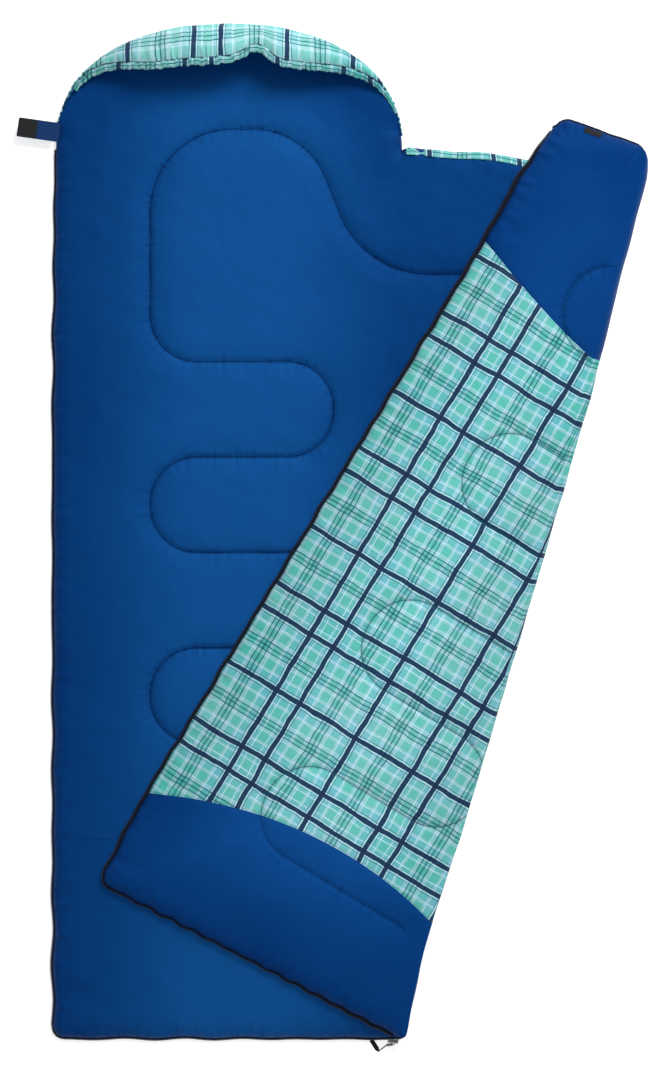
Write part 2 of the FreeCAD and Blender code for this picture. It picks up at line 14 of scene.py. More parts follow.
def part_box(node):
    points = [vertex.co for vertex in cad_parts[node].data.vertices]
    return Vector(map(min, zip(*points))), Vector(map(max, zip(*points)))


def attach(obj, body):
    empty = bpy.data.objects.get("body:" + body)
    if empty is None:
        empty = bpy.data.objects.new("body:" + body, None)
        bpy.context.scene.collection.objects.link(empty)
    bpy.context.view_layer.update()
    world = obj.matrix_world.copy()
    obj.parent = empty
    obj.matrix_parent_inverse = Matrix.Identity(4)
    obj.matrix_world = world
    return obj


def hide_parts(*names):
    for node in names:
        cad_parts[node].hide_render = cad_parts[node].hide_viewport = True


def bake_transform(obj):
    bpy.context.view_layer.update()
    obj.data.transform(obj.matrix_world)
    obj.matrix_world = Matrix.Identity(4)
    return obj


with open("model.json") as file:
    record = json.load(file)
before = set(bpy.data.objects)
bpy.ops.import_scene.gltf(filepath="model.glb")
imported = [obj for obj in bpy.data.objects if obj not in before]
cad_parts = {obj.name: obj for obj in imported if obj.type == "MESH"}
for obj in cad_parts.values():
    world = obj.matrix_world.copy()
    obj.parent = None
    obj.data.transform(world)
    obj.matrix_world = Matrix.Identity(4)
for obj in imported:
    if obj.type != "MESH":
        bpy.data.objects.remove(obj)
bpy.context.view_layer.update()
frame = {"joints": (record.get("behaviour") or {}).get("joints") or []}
MM = 0.001

# ---- places from the frame ----
JOINTS = {joint["name"]: joint for joint in frame["joints"]}
FOLD = JOINTS["diagonal_fold"]
CORNER = np.array(FOLD["pos_m"][:2]) / MM
FOLD_DIRECTION = np.array(FOLD["axis"][:2])
FOLD_OUT = np.array([FOLD_DIRECTION[1], -FOLD_DIRECTION[0]])
FOLD_Z = FOLD["pos_m"][2] / MM
SIDE_X = CORNER[0]
BASE_LOW, BASE_HIGH = (np.array(corner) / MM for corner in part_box("base_lining"))
LEFT_X = BASE_LOW[0]
FOOT_Y = BASE_LOW[1]
TOP_Z = BASE_HIGH[2]
BAG_WIDTH = SIDE_X - LEFT_X
LOFT = TOP_Z
FLAP_Z = 2 * FOLD_Z - TOP_Z

# ---- the quilts ----
HEAD_Y = 962.0
HEAD_SIDE_Y = 968.5
SEAM_HEIGHT = 8.0
ZIP_EDGE_ANGLE = 58.9
FLAP_FOOT_ANGLE = 152.7
FLAP_FOOT_WIDTH = 735.0
FLAP_LENGTH = 1916.0
FLAP_HEAD_TURN = 79.3       # from the zip edge to the head edge
YOKE_DEPTH = (315.0, 419.0, 1.4)        # at the edges, in the middle, roundness
FOOT_PANEL_DEPTH = (218.0, 300.0, 2.0)
HOOD_HALF_WIDTH = 372.0
HOOD_DEPTH = 218.0
HOOD_POWER = 2.3
HOOD_CURL = [(0, 12), (22, 18), (38, 38), (40, 62), (28, 86), (2, 100), (-18, 104), (-32, 100)]
HOOD_WALL_HALF = 6.5
QUILT_ROW = 205.0
QUILT_TURN_R = 100.0
QUILT_LEFT_X = -172.0
QUILT_RIGHT_X = 222.0
QUILT_FIRST_ROW_Y = 506.0
QUILT_ROWS = 6
QUILT_SWEEP = (287.0, 694.0, 205.0)     # corner and radius where the line leaves for the side
QUILT_CROWN_RIGHT = (163.0, 1006.0, 170.0)
QUILT_CROWN_LEFT = (-172.0, 1006.0, 178.0)
FLAP_FIRST_ROW = 251.0                  # up from the zip's foot corner
FLAP_ROW = 208.0
FLAP_ROWS = 8
FLAP_ROW_ENDS = (208.0, 602.0)          # in from the zip edge

# ---- mesh fineness ----
CELL = 5.0
UNDER_CELL = 10.0
HIDDEN_BLOCK = 6            # visible cells across one cell of a hidden face
MERGE_DISTANCE = 0.00005    # metres


def unit(angle):
    """Plan direction of an angle in degrees."""
    return np.array([math.cos(math.radians(angle)), math.sin(math.radians(angle))])


ZIP_DIRECTION = unit(ZIP_EDGE_ANGLE)
ZIP_INWARD = unit(ZIP_EDGE_ANGLE - 90)
HEAD_DIRECTION = unit(ZIP_EDGE_ANGLE - FLAP_HEAD_TURN)
FLAP_FOOT_ZIP = CORNER + FLAP_FOOT_WIDTH * unit(FLAP_FOOT_ANGLE)
FLAP_HEAD_ZIP = FLAP_FOOT_ZIP + FLAP_LENGTH * ZIP_DIRECTION


def cross(a, b):
    """Plan cross product."""
    return a[0] * b[1] - a[1] * b[0]


HEAD_REACH = cross(CORNER - FLAP_HEAD_ZIP, FOLD_DIRECTION) / cross(HEAD_DIRECTION, FOLD_DIRECTION)
FOLD_HEAD = FLAP_HEAD_ZIP + HEAD_REACH * HEAD_DIRECTION
FOOT_SLANT = math.tan(math.radians(FLAP_FOOT_ANGLE - ZIP_EDGE_ANGLE - 90))
FOLD_LENGTH = float(np.linalg.norm(FOLD_HEAD - CORNER))


# =====================================================================
# Small numeric helpers
# =====================================================================
def smooth(value):
    """Smooth step of a value clipped to 0..1."""
    t = np.clip(value, 0, 1)
    return t * t * (3 - 2 * t)


RIPPLE_WAVES = 3
RELIEF_WAVES = 7


def ripple(position, seed, wavelength):
    """Irregular wave of a one-dimensional position, within about -1..1."""
    rng = np.random.default_rng(seed)
    total = np.zeros_like(np.asarray(position, dtype=float))
    for _ in range(RIPPLE_WAVES):
        turn = rng.uniform(0, 2 * math.pi)
        stretch = rng.uniform(0.7, 1.45)
        total += np.sin(2 * math.pi * position / (wavelength * stretch) + turn)
    return total / RIPPLE_WAVES


def relief(x, y, seed, wavelength):
    """Irregular hills over the plan, within about -1..1."""
    rng = np.random.default_rng(seed)
    total = np.zeros_like(x)
    for _ in range(RELIEF_WAVES):
        angle = rng.uniform(0, math.pi)
        turn = rng.uniform(0, 2 * math.pi)
        k = 2 * math.pi / (wavelength * rng.uniform(0.6, 1.6))
        total += np.sin(k * (x * math.cos(angle) + y * math.sin(angle)) + turn)
    return total / math.sqrt(RELIEF_WAVES)


LINE_STEP = 4.0             # spacing of the points along quilting lines and edges


def tangents(line):
    """Unit tangents at the points of a line."""
    tangent = np.gradient(line, axis=0)
    return tangent / np.linalg.norm(tangent, axis=1)[:, None]


def sideways(tangent):
    """Level directions to the right of some tangents."""
    return np.stack([tangent[:, 1], -tangent[:, 0], np.zeros(len(tangent))], axis=-1)


def run_lengths(line):
    """Length along a line up to each of its points."""
    return np.concatenate([[0], np.cumsum(np.linalg.norm(np.diff(line, axis=0), axis=1))])


def rounded_path(corners):
    """Points along a run of corners (x, y, radius) turned with tangent arcs."""
    radii = [corner[2] for corner in corners]
    corners = [np.array(corner[:2], dtype=float) for corner in corners]
    points = [corners[0]]
    for index in range(1, len(corners) - 1):
        here, radius = corners[index], radii[index]
        back = corners[index - 1] - here
        ahead = corners[index + 1] - here
        back /= np.linalg.norm(back)
        ahead /= np.linalg.norm(ahead)
        half = math.acos(np.clip(back @ ahead, -1, 1)) / 2
        middle = back + ahead
        centre = here + middle / np.linalg.norm(middle) * radius / math.sin(half)
        start = here + back * radius / math.tan(half)
        end = here + ahead * radius / math.tan(half)
        low = math.atan2(*(start - centre)[::-1])
        sweep = math.atan2(cross(start - centre, end - centre), (start - centre) @ (end - centre))
        count = max(3, int(abs(sweep) * radius / LINE_STEP))
        for angle in np.linspace(low, low + sweep, count):
            points.append(centre + radius * np.array([math.cos(angle), math.sin(angle)]))
    points.append(corners[-1])
    return resample(np.array(points), LINE_STEP)


def resample(points, step):
    """The same line with points a step apart."""
    lengths = run_lengths(points)
    count = max(2, int(lengths[-1] / step) + 1)
    at = np.linspace(0, lengths[-1], count)
    return np.stack([np.interp(at, lengths, values) for values in points.T], axis=1)


def nearest(lines, x, y):
    """Signed distance to the nearest of some plan lines, and the length along it, for every point."""
    tree = kdtree.KDTree(sum(len(line) for line in lines))
    along, points, directions = [], [], []
    offset = 0.0
    for line in lines:
        steps = run_lengths(line)
        for point in line:
            tree.insert((point[0], point[1], 0), len(points))
            points.append(point)
        along.append(offset + steps)
        directions.append(tangents(line))
        offset += steps[-1] + QUILT_ROW
    tree.balance()
    points, along, directions = np.array(points), np.concatenate(along), np.concatenate(directions)
    hits = np.array([tree.find((px, py, 0))[1] for px, py in zip(x.ravel(), y.ravel())])
    gap_x, gap_y = x.ravel() - points[hits, 0], y.ravel() - points[hits, 1]
    across = directions[hits, 0] * gap_y - directions[hits, 1] * gap_x
    forward = directions[hits, 0] * gap_x + directions[hits, 1] * gap_y
    signed = np.hypot(gap_x, gap_y) * np.where(across < 0, -1, 1)
    beside = np.abs(forward) < 2 * LINE_STEP
    signed = np.where(beside, across, signed)
    return signed.reshape(x.shape), (along[hits] + forward * beside).reshape(x.shape)


# =====================================================================
# Mesh helpers
# =====================================================================
def make_mesh(name, points, faces, uv=None, attributes=None, materials=(), sharp=50):
    """Mesh object from points in millimetres, with smooth shading, UVs and vertex attributes."""
    mesh = bpy.data.meshes.new(name)
    mesh.from_pydata((np.asarray(points) * MM).tolist(), [], faces)
    for material in materials:
        mesh.materials.append(material)
    if uv is not None:
        layer = mesh.uv_layers.new(name="UVMap")
        loops = np.zeros(len(mesh.loops), dtype=np.int32)
        mesh.loops.foreach_get("vertex_index", loops)
        layer.data.foreach_set("uv", (np.asarray(uv)[loops] * MM).astype(np.float32).ravel())
    for key, values in (attributes or {}).items():
        layer = mesh.attributes.new(name=key, type="FLOAT", domain="POINT")
        layer.data.foreach_set("value", np.asarray(values, dtype=np.float32).ravel())
    mesh.shade_smooth()
    mesh.set_sharp_from_angle(angle=math.radians(sharp))
    mesh.update()
    obj = bpy.data.objects.new(name, mesh)
    bpy.context.scene.collection.objects.link(obj)
    return obj


def grid_faces(rows, cols, flip=False, offset=0):
    """Quads of a rows by cols grid."""
    index = np.arange(rows * cols).reshape(rows, cols) + offset
    quads = np.stack([index[:-1, :-1], index[:-1, 1:], index[1:, 1:], index[1:, :-1]], axis=-1)
    quads = quads.reshape(-1, 4)
    return (quads[:, ::-1] if flip else quads).tolist()


def rim_faces(rows, cols, flip):
    """Quads round the rim of a grid that join it to a second grid numbered after it."""
    count = rows * cols
    rim = list(range(cols)) + [r * cols + cols - 1 for r in range(1, rows)]
    rim += [(rows - 1) * cols + c for c in range(cols - 2, -1, -1)]
    rim += [r * cols for r in range(rows - 2, 0, -1)]
    faces = []
    for a, b in zip(rim, rim[1:] + rim[:1]):
        quad = [b, a, a + count, b + count]
        faces.append(quad[::-1] if flip else quad)
    return faces


def closing_faces(rows, cols):
    """Faces that close a grid shaped like a half pipe: its open side and both ends."""
    last = (rows - 1) * cols
    faces = [[r * cols, (r + 1) * cols, (r + 2) * cols - 1, (r + 1) * cols - 1] for r in range(rows - 1)]
    return faces + [list(range(cols)), [last + c for c in range(cols)][::-1]]


def ring_faces(rows, sides, closed_ends=True):
    """Quads of a tube made of rings, and its two end faces."""
    faces = []
    for row in range(rows - 1):
        for corner in range(sides):
            a = row * sides + corner
            b = row * sides + (corner + 1) % sides
            faces.append([a, a + sides, b + sides, b])
    if closed_ends:
        last = (rows - 1) * sides
        faces.append(list(range(sides)))
        faces.append([last + corner for corner in range(sides)][::-1])
    return faces


def block_faces(rows, cols, block, flip, offset):
    """Large faces over the same grid that still use every vertex of its rim."""
    faces = []
    row_stops = list(range(0, rows - 1, block)) + [rows - 1]
    col_stops = list(range(0, cols - 1, block)) + [cols - 1]
    for r0, r1 in zip(row_stops[:-1], row_stops[1:]):
        for c0, c1 in zip(col_stops[:-1], col_stops[1:]):
            low = range(c0, c1) if r0 == 0 else [c0]
            right = range(r0, r1) if c1 == cols - 1 else [r0]
            high = range(c1, c0, -1) if r1 == rows - 1 else [c1]
            left = range(r1, r0, -1) if c0 == 0 else [r1]
            ring = [r0 * cols + c for c in low] + [r * cols + c1 for r in right]
            ring += [r1 * cols + c for c in high] + [r * cols + c0 for r in left]
            ring = [vertex + offset for vertex in ring]
            faces.append(ring[::-1] if flip else ring)
    return faces


def slab(name, x, y, seen, hidden, uv, material, attributes=None, up=True):
    """Closed skin over a grid: a fine seen face and a coarse hidden face, joined round the rim."""
    rows, cols = x.shape
    count = rows * cols
    points = np.concatenate([
        np.stack([x, y, seen], axis=-1).reshape(-1, 3),
        np.stack([x, y, hidden], axis=-1).reshape(-1, 3),
    ])
    faces = grid_faces(rows, cols, flip=not up)
    faces += block_faces(rows, cols, HIDDEN_BLOCK, flip=up, offset=count)
    faces += rim_faces(rows, cols, flip=not up)
    uv = np.concatenate([uv.reshape(-1, 2)] * 2)
    attributes = {key: np.concatenate([value.ravel()] * 2) for key, value in (attributes or {}).items()}
    obj = make_mesh(name, points, faces, uv, attributes, [material])
    clean(obj)
    return obj


def clean(obj):
    """Merges the vertices of collapsed cells and drops the faces that they leave."""
    shape = bmesh.new()
    shape.from_mesh(obj.data)
    bmesh.ops.remove_doubles(shape, verts=shape.verts, dist=MERGE_DISTANCE)
    bmesh.ops.dissolve_degenerate(shape, edges=shape.edges, dist=MERGE_DISTANCE)
    shape.to_mesh(obj.data)
    shape.free()


def tube(path, radius, sides=6, flatten=1.0, closed_ends=True):
    """Points and faces of a tube along a path of 3-D points; flatten squeezes it in height."""
    path = np.asarray(path, dtype=float)
    tangent = tangents(path)
    side = np.cross(tangent, np.array([0.0, 0.0, 1.0]))
    side /= np.maximum(np.linalg.norm(side, axis=1), 1e-6)[:, None]
    lift = np.cross(side, tangent)
    radius = np.broadcast_to(radius, len(path))
    rings = []
    for corner in range(sides):
        angle = 2 * math.pi * corner / sides
        spoke = side * math.cos(angle) + lift * math.sin(angle) * flatten
        rings.append(path + spoke * radius[:, None])
    points = np.stack(rings, axis=1).reshape(-1, 3)
    return points, ring_faces(len(path), sides, closed_ends)


def enrol(obj, nodes=(), body=None):
    """Hides the CAD nodes that a piece stands for and attaches it to the body it rides."""
    if nodes:
        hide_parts(*nodes)
    if body:
        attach(obj, body)


def joined(parts):
    """One list of points and one of faces from several."""
    points, faces, offset = [], [], 0
    for part_points, part_faces in parts:
        points.append(np.asarray(part_points))
        faces += [[vertex + offset for vertex in face] for face in part_faces]
        offset += len(part_points)
    return np.concatenate(points), faces


# =====================================================================
# Materials
# =====================================================================
def srgb(red, green, blue):
    """Linear colour of 8-bit screen values."""
    out = []
    for value in (red, green, blue):
        c = value / 255
        out.append(c / 12.92 if c <= 0.04045 else ((c + 0.055) / 1.055) ** 2.4)
    return (*out, 1.0)


SHEEN_ROUGHNESS = 0.4
NOISE_ROUGHNESS = 0.55


class Paint:
    """Builds one node material; sockets and numbers can be given alike."""

    def __init__(self, name, roughness, specular, sheen=0.0, metallic=0.0):
        self.material = bpy.data.materials.new(name)
        self.material.use_nodes = True
        self.tree = self.material.node_tree
        self.shader = self.tree.nodes["Principled BSDF"]
        self.shader.inputs["Roughness"].default_value = roughness
        self.shader.inputs["Specular IOR Level"].default_value = specular
        self.shader.inputs["Sheen Weight"].default_value = sheen
        self.shader.inputs["Sheen Roughness"].default_value = SHEEN_ROUGHNESS
        self.shader.inputs["Metallic"].default_value = metallic

    def feed(self, socket, value):
        """Links a socket or sets a plain value."""
        if isinstance(value, bpy.types.NodeSocket):
            self.tree.links.new(value, socket)
        else:
            socket.default_value = value

    def math(self, operation, first, second=0.0, third=0.0):
        """Math node."""
        node = self.tree.nodes.new("ShaderNodeMath")
        node.operation = operation
        for socket, value in zip(node.inputs, (first, second, third)):
            self.feed(socket, value)
        return node.outputs[0]

    def mix(self, factor, first, second, blend="MIX"):
        """Colour mix."""
        node = self.tree.nodes.new("ShaderNodeMix")
        node.data_type = "RGBA"
        node.blend_type = blend
        self.feed(node.inputs["Factor"], factor)
        self.feed(node.inputs["A"], first)
        self.feed(node.inputs["B"], second)
        return node.outputs["Result"]

    def ramp(self, value, stops):
        """Colour ramp; stops are (position, colour or grey)."""
        node = self.tree.nodes.new("ShaderNodeValToRGB")
        node.color_ramp.interpolation = "LINEAR"
        elements = node.color_ramp.elements
        while len(elements) < len(stops):
            elements.new(0.5)
        for element, (position, colour) in zip(elements, stops):
            element.position = position
        for element, (position, colour) in zip(elements, stops):
            element.color = colour if isinstance(colour, tuple) else (colour, colour, colour, 1)
        self.feed(node.inputs[0], value)
        return node.outputs[0]

    def uv(self):
        """The two fabric coordinates, in metres."""
        source = self.tree.nodes.new("ShaderNodeUVMap")
        source.uv_map = "UVMap"
        split = self.tree.nodes.new("ShaderNodeSeparateXYZ")
        self.feed(split.inputs[0], source.outputs[0])
        return split.outputs[0], split.outputs[1]

    def attribute(self, name):
        """A vertex attribute."""
        node = self.tree.nodes.new("ShaderNodeAttribute")
        node.attribute_name = name
        return node.outputs["Fac"]

    def vector(self, x, y, z=0.0):
        """Vector from three numbers or sockets."""
        node = self.tree.nodes.new("ShaderNodeCombineXYZ")
        for socket, value in zip(node.inputs, (x, y, z)):
            self.feed(socket, value)
        return node.outputs[0]

    def place(self):
        """Object coordinates."""
        return self.tree.nodes.new("ShaderNodeTexCoord").outputs["Object"]

    def noise(self, vector, scale, detail=3.0):
        """Noise value."""
        node = self.tree.nodes.new("ShaderNodeTexNoise")
        self.feed(node.inputs["Vector"], vector)
        node.inputs["Scale"].default_value = scale
        node.inputs["Detail"].default_value = detail
        node.inputs["Roughness"].default_value = NOISE_ROUGHNESS
        return node.outputs[0]

    def weave(self, u, v, pitch):
        """Over-and-under height of a plain weave, 0..1."""
        turns = 2 * math.pi / pitch
        a = self.math("SINE", self.math("MULTIPLY", u, turns))
        b = self.math("SINE", self.math("MULTIPLY", v, turns))
        return self.math("MULTIPLY_ADD", self.math("MULTIPLY", a, b), 0.5, 0.5)

    def bump(self, height, distance, strength=1.0, normal=None):
        """Bump node in metres."""
        node = self.tree.nodes.new("ShaderNodeBump")
        node.inputs["Strength"].default_value = strength
        node.inputs["Distance"].default_value = distance
        self.feed(node.inputs["Height"], height)
        if normal is not None:
            self.feed(node.inputs["Normal"], normal)
        return node.outputs[0]

    def finish(self, colour, normal=None, roughness=None):
        """Connects colour, normal and roughness to the shader."""
        self.feed(self.shader.inputs["Base Color"], colour)
        if normal is not None:
            self.feed(self.shader.inputs["Normal"], normal)
        if roughness is not None:
            self.feed(self.shader.inputs["Roughness"], roughness)
        return self.material


def fading(paint, away, reach):
    """Falls from 1 on a line to nothing beside it."""
    return paint.math("POWER", math.e, paint.math("DIVIDE", away, -reach))


# Painted shade: fine creases, stitch lines and a band beside each edge are darkened in the colour.
CREASE_SCALES = (120.0, 22.0)   # of the noise along a line and away from it
CREASE_SHARPNESS = [(0.53, 0.0), (0.66, 1.0)]
CREASE_DARKNESS = 0.55
THREAD_REACH = 0.0016
THREAD_DEPTH = 0.6
EDGE_SHADE = (0.0022, 0.7)      # reach and strength of the shade beside an edge
DARKEST_CREASE = 0.85


def creases(paint, stitch_reach, edge_reach, thread_shade):
    """Fine creases that run away from stitch lines and edges: their height, and the painted shade in them,
    along the stitches and beside the edges.
    """
    stitch = paint.math("ABSOLUTE", paint.attribute("stitch"))
    lines = [(stitch, paint.attribute("stitch_along"), stitch_reach),
             (paint.attribute("edge"), paint.attribute("edge_along"), edge_reach)]
    heights, shades = [], []
    for away, along, reach in lines:
        spot = paint.vector(*(paint.math("MULTIPLY", value, scale)
                              for value, scale in zip((along, away), CREASE_SCALES)))
        fine = paint.noise(spot, 1.0, 4.0)
        near = fading(paint, away, reach)
        heights.append(paint.math("MULTIPLY", fine, near))
        shades.append(paint.math("MULTIPLY", paint.ramp(fine, CREASE_SHARPNESS), near))
    thread = fading(paint, stitch, THREAD_REACH)
    height = paint.math("SUBTRACT", paint.math("ADD", *heights),
                        paint.math("MULTIPLY", thread, THREAD_DEPTH))
    shade = paint.math("MULTIPLY", paint.math("ADD", *shades), CREASE_DARKNESS)
    shade = paint.math("ADD", shade, paint.math("MULTIPLY", thread, thread_shade))
    shade_reach, shade_strength = EDGE_SHADE
    edge = fading(paint, lines[1][0], shade_reach)
    shade = paint.math("ADD", shade, paint.math("MULTIPLY", edge, shade_strength))
    return height, paint.math("MINIMUM", shade, DARKEST_CREASE)


SATIN_SPECULAR = 0.35
SATIN_TINT = (0.02, 0.30, 1.0, 1)
SATIN_CREASES = (0.009, 0.016)  # reach from stitches and from edges, in metres
SATIN_RELIEF = (0.0022, 0.0020, 0.00008)    # depth of creases, soft dents and weave
SATIN_DRIFT_AND_LIGHT = (0.35, 0.85)       # share of the drifting tone, and of the crown mark as painted light, in the mix from the shaded to the lit colour
# Shares of the shaded colour that give the painted crease shade.
CREASE_SHADE_TINT = (0.2, 0.25, 0.4)


def quilted_cloth(name, shaded, lit, roughness, thread_shade, weave_pitch):
    """Plain dyed polyester over batting: satin sheen, drifting tone, painted light from the crown mark
    between the shaded and the lit colour, creases with painted shade, and a fine weave.
    """
    paint = Paint(name, roughness, SATIN_SPECULAR)
    paint.shader.inputs["Specular Tint"].default_value = SATIN_TINT
    u, v = paint.uv()
    place = paint.vector(u, v)
    drift = paint.noise(place, 3.5, 2.0)
    drift_share, painted_light_share = SATIN_DRIFT_AND_LIGHT
    # Painted light: the crown mark pushes the cloth towards the lit colour and leaves painted shade where it
    # is low.
    middle = paint.math("MULTIPLY", paint.attribute("crown"), painted_light_share)
    tone = paint.mix(paint.math("MULTIPLY_ADD", drift, drift_share, middle), shaded, lit)
    height, shade = creases(paint, *SATIN_CREASES, thread_shade)
    # Painted shade mixed in at creases, stitches and edges.
    tone = paint.mix(shade, tone, (*(value * share for value, share in zip(shaded, CREASE_SHADE_TINT)), 1))
    mottled = paint.math("MULTIPLY_ADD", paint.noise(place, 60.0, 3.0), 0.10, 0.95)
    tone = paint.mix(1.0, tone, paint.vector(mottled, mottled, mottled), "MULTIPLY")
    crease_depth, dent_depth, weave_depth = SATIN_RELIEF
    normal = paint.bump(height, crease_depth)
    soft = paint.bump(paint.noise(place, 18.0, 2.0), dent_depth, 1.0, normal)
    woven = paint.bump(paint.weave(u, v, weave_pitch), weave_depth, 1.0, soft)
    rough = paint.math("MULTIPLY_ADD", paint.noise(place, 14.0, 2.0), 0.14, roughness - 0.07)
    return paint.finish(tone, woven, rough)


# One repeat of the plaid, in metres: navy bands stand at 0, NARROW_CELL and NARROW_CELL + WIDE_CELL.
NARROW_CELL = 0.058
WIDE_CELL = 0.1405
SETT = NARROW_CELL + 2 * WIDE_CELL
NAVY_HALF = 0.0052
PALE = srgb(138, 198, 209)
HAZE = srgb(158, 198, 213)
CYAN = srgb(94, 176, 190)
MINT = srgb(76, 180, 168)
TEAL = srgb(50, 160, 152)
# Pale colour mixed over the plaid as painted light where the crown mark is high.
PAINTED_LIGHT_PALE = srgb(178, 206, 208)
WHITE_LINE = srgb(196, 236, 244)
DARK_LINE = srgb(2, 72, 86)
NAVY = srgb(6, 36, 74)
NARROW_END = NARROW_CELL / 2 + 0.001
WIDE_END = WIDE_CELL / 2 + 0.001
# Bands from a navy band outward, in a narrow cell and in a wide one, and the softness of their edges.
# Each band is where it ends and its colour, or how strong the line is.
GROUND_BANDS = (
    [(0.0095, PALE), (0.0165, CYAN), (0.0195, HAZE), (NARROW_END, MINT)],
    [(0.0100, PALE), (0.0245, CYAN), (0.0310, HAZE), (0.0500, MINT), (0.0590, HAZE), (WIDE_END, TEAL)],
    0.0006)
WHITE_BANDS = (
    [(0.0052, 0.0), (0.0072, 1.0), (0.0165, 0.0), (0.0182, 1.0), (NARROW_END, 0.0)],
    [(0.0052, 0.0), (0.0074, 1.0), (0.0245, 0.0), (0.0265, 0.9), (0.0505, 0.0),
     (0.0520, 0.6), (0.0640, 0.0), (0.0652, 0.5), (WIDE_END, 0.0)],
    0.0003)
DARK_BANDS = (
    [(0.0086, 0.0), (0.0100, 0.6), (NARROW_END, 0.0)],
    [(0.0086, 0.0), (0.0104, 0.8), (0.0596, 0.0), (0.0614, 1.0), (0.0692, 0.0), (WIDE_END, 1.0)],
    0.0002)


def stripe_place(paint, coordinate, start):
    """Distance from the nearest navy band's middle, and whether the cell is a wide one."""
    phase = paint.math("WRAP", paint.math("SUBTRACT", coordinate, start), SETT, 0.0)
    wide = paint.math("GREATER_THAN", phase, NARROW_CELL)
    narrow_away = paint.math("MINIMUM", phase, paint.math("SUBTRACT", NARROW_CELL, phase))
    within = paint.math("WRAP", paint.math("SUBTRACT", phase, NARROW_CELL), WIDE_CELL, 0.0)
    wide_away = paint.math("MINIMUM", within, paint.math("SUBTRACT", WIDE_CELL, within))
    away = paint.math("ADD", paint.math("MULTIPLY", wide, wide_away),
                      paint.math("MULTIPLY", paint.math("SUBTRACT", 1.0, wide), narrow_away))
    return away, wide


def banded(paint, away, bands, span, edge):
    """Ramp made of bands: (end distance, colour or grey), softened a little at each step."""
    stops = []
    start = 0.0
    for end, colour in bands:
        stops.append(((start + edge) / span, colour))
        stops.append((min((end - edge) / span, 1.0), colour))
        start = end
    stops[0] = (0.0, bands[0][1])
    return paint.ramp(paint.math("DIVIDE", away, span), stops)


def stripe_set(paint, coordinate, start):
    """Ground colour and the masks of white, dark and navy lines of one direction of the plaid."""
    away, wide = stripe_place(paint, coordinate, start)
    masks = []
    for narrow_bands, wide_bands, edge in (GROUND_BANDS, WHITE_BANDS, DARK_BANDS):
        cells = [banded(paint, away, bands, cell / 2, edge)
                 for bands, cell in ((narrow_bands, NARROW_CELL), (wide_bands, WIDE_CELL))]
        masks.append(paint.mix(wide, *cells))
    return (*masks, paint.math("LESS_THAN", away, NAVY_HALF))


PLAID_CREASES = (0.008, 0.014)  # reach from stitches and from edges, in metres
PLAID_THREAD_SHADE = 0.95
PLAID_CREASE_SHADE = 0.90
PLAID_CREASE_SHADE_COLOUR = srgb(4, 74, 86)
PLAID_RELIEF = (0.0025, 0.0030, 0.00010)    # depth of creases, soft dents and weave
PLAID_WEAVE = 0.0011
LINE_WANDER = 0.012             # how far the printed lines drift from straight, side to side
WHITE_WEAR = [(0.35, 0.22), (0.62, 0.72)]
DARK_WEAR = [(0.38, 1.0), (0.65, 0.68)]
BLUSH_PATCHES = [(0.40, 0.0), (0.75, 0.16)]
BLUSH = srgb(196, 206, 214)
NAVY_STRENGTH = 0.96
CROSSING = srgb(8, 26, 60)      # where two navy bands cross
SLUBS = ((900.0, 40.0), (60.0, 700.0))      # noise scales of the threads of either direction
PLAID_EDGE_SHADE_LEVEL = 0.82            # painted shade: tone left towards the edges, where the crown mark is nothing


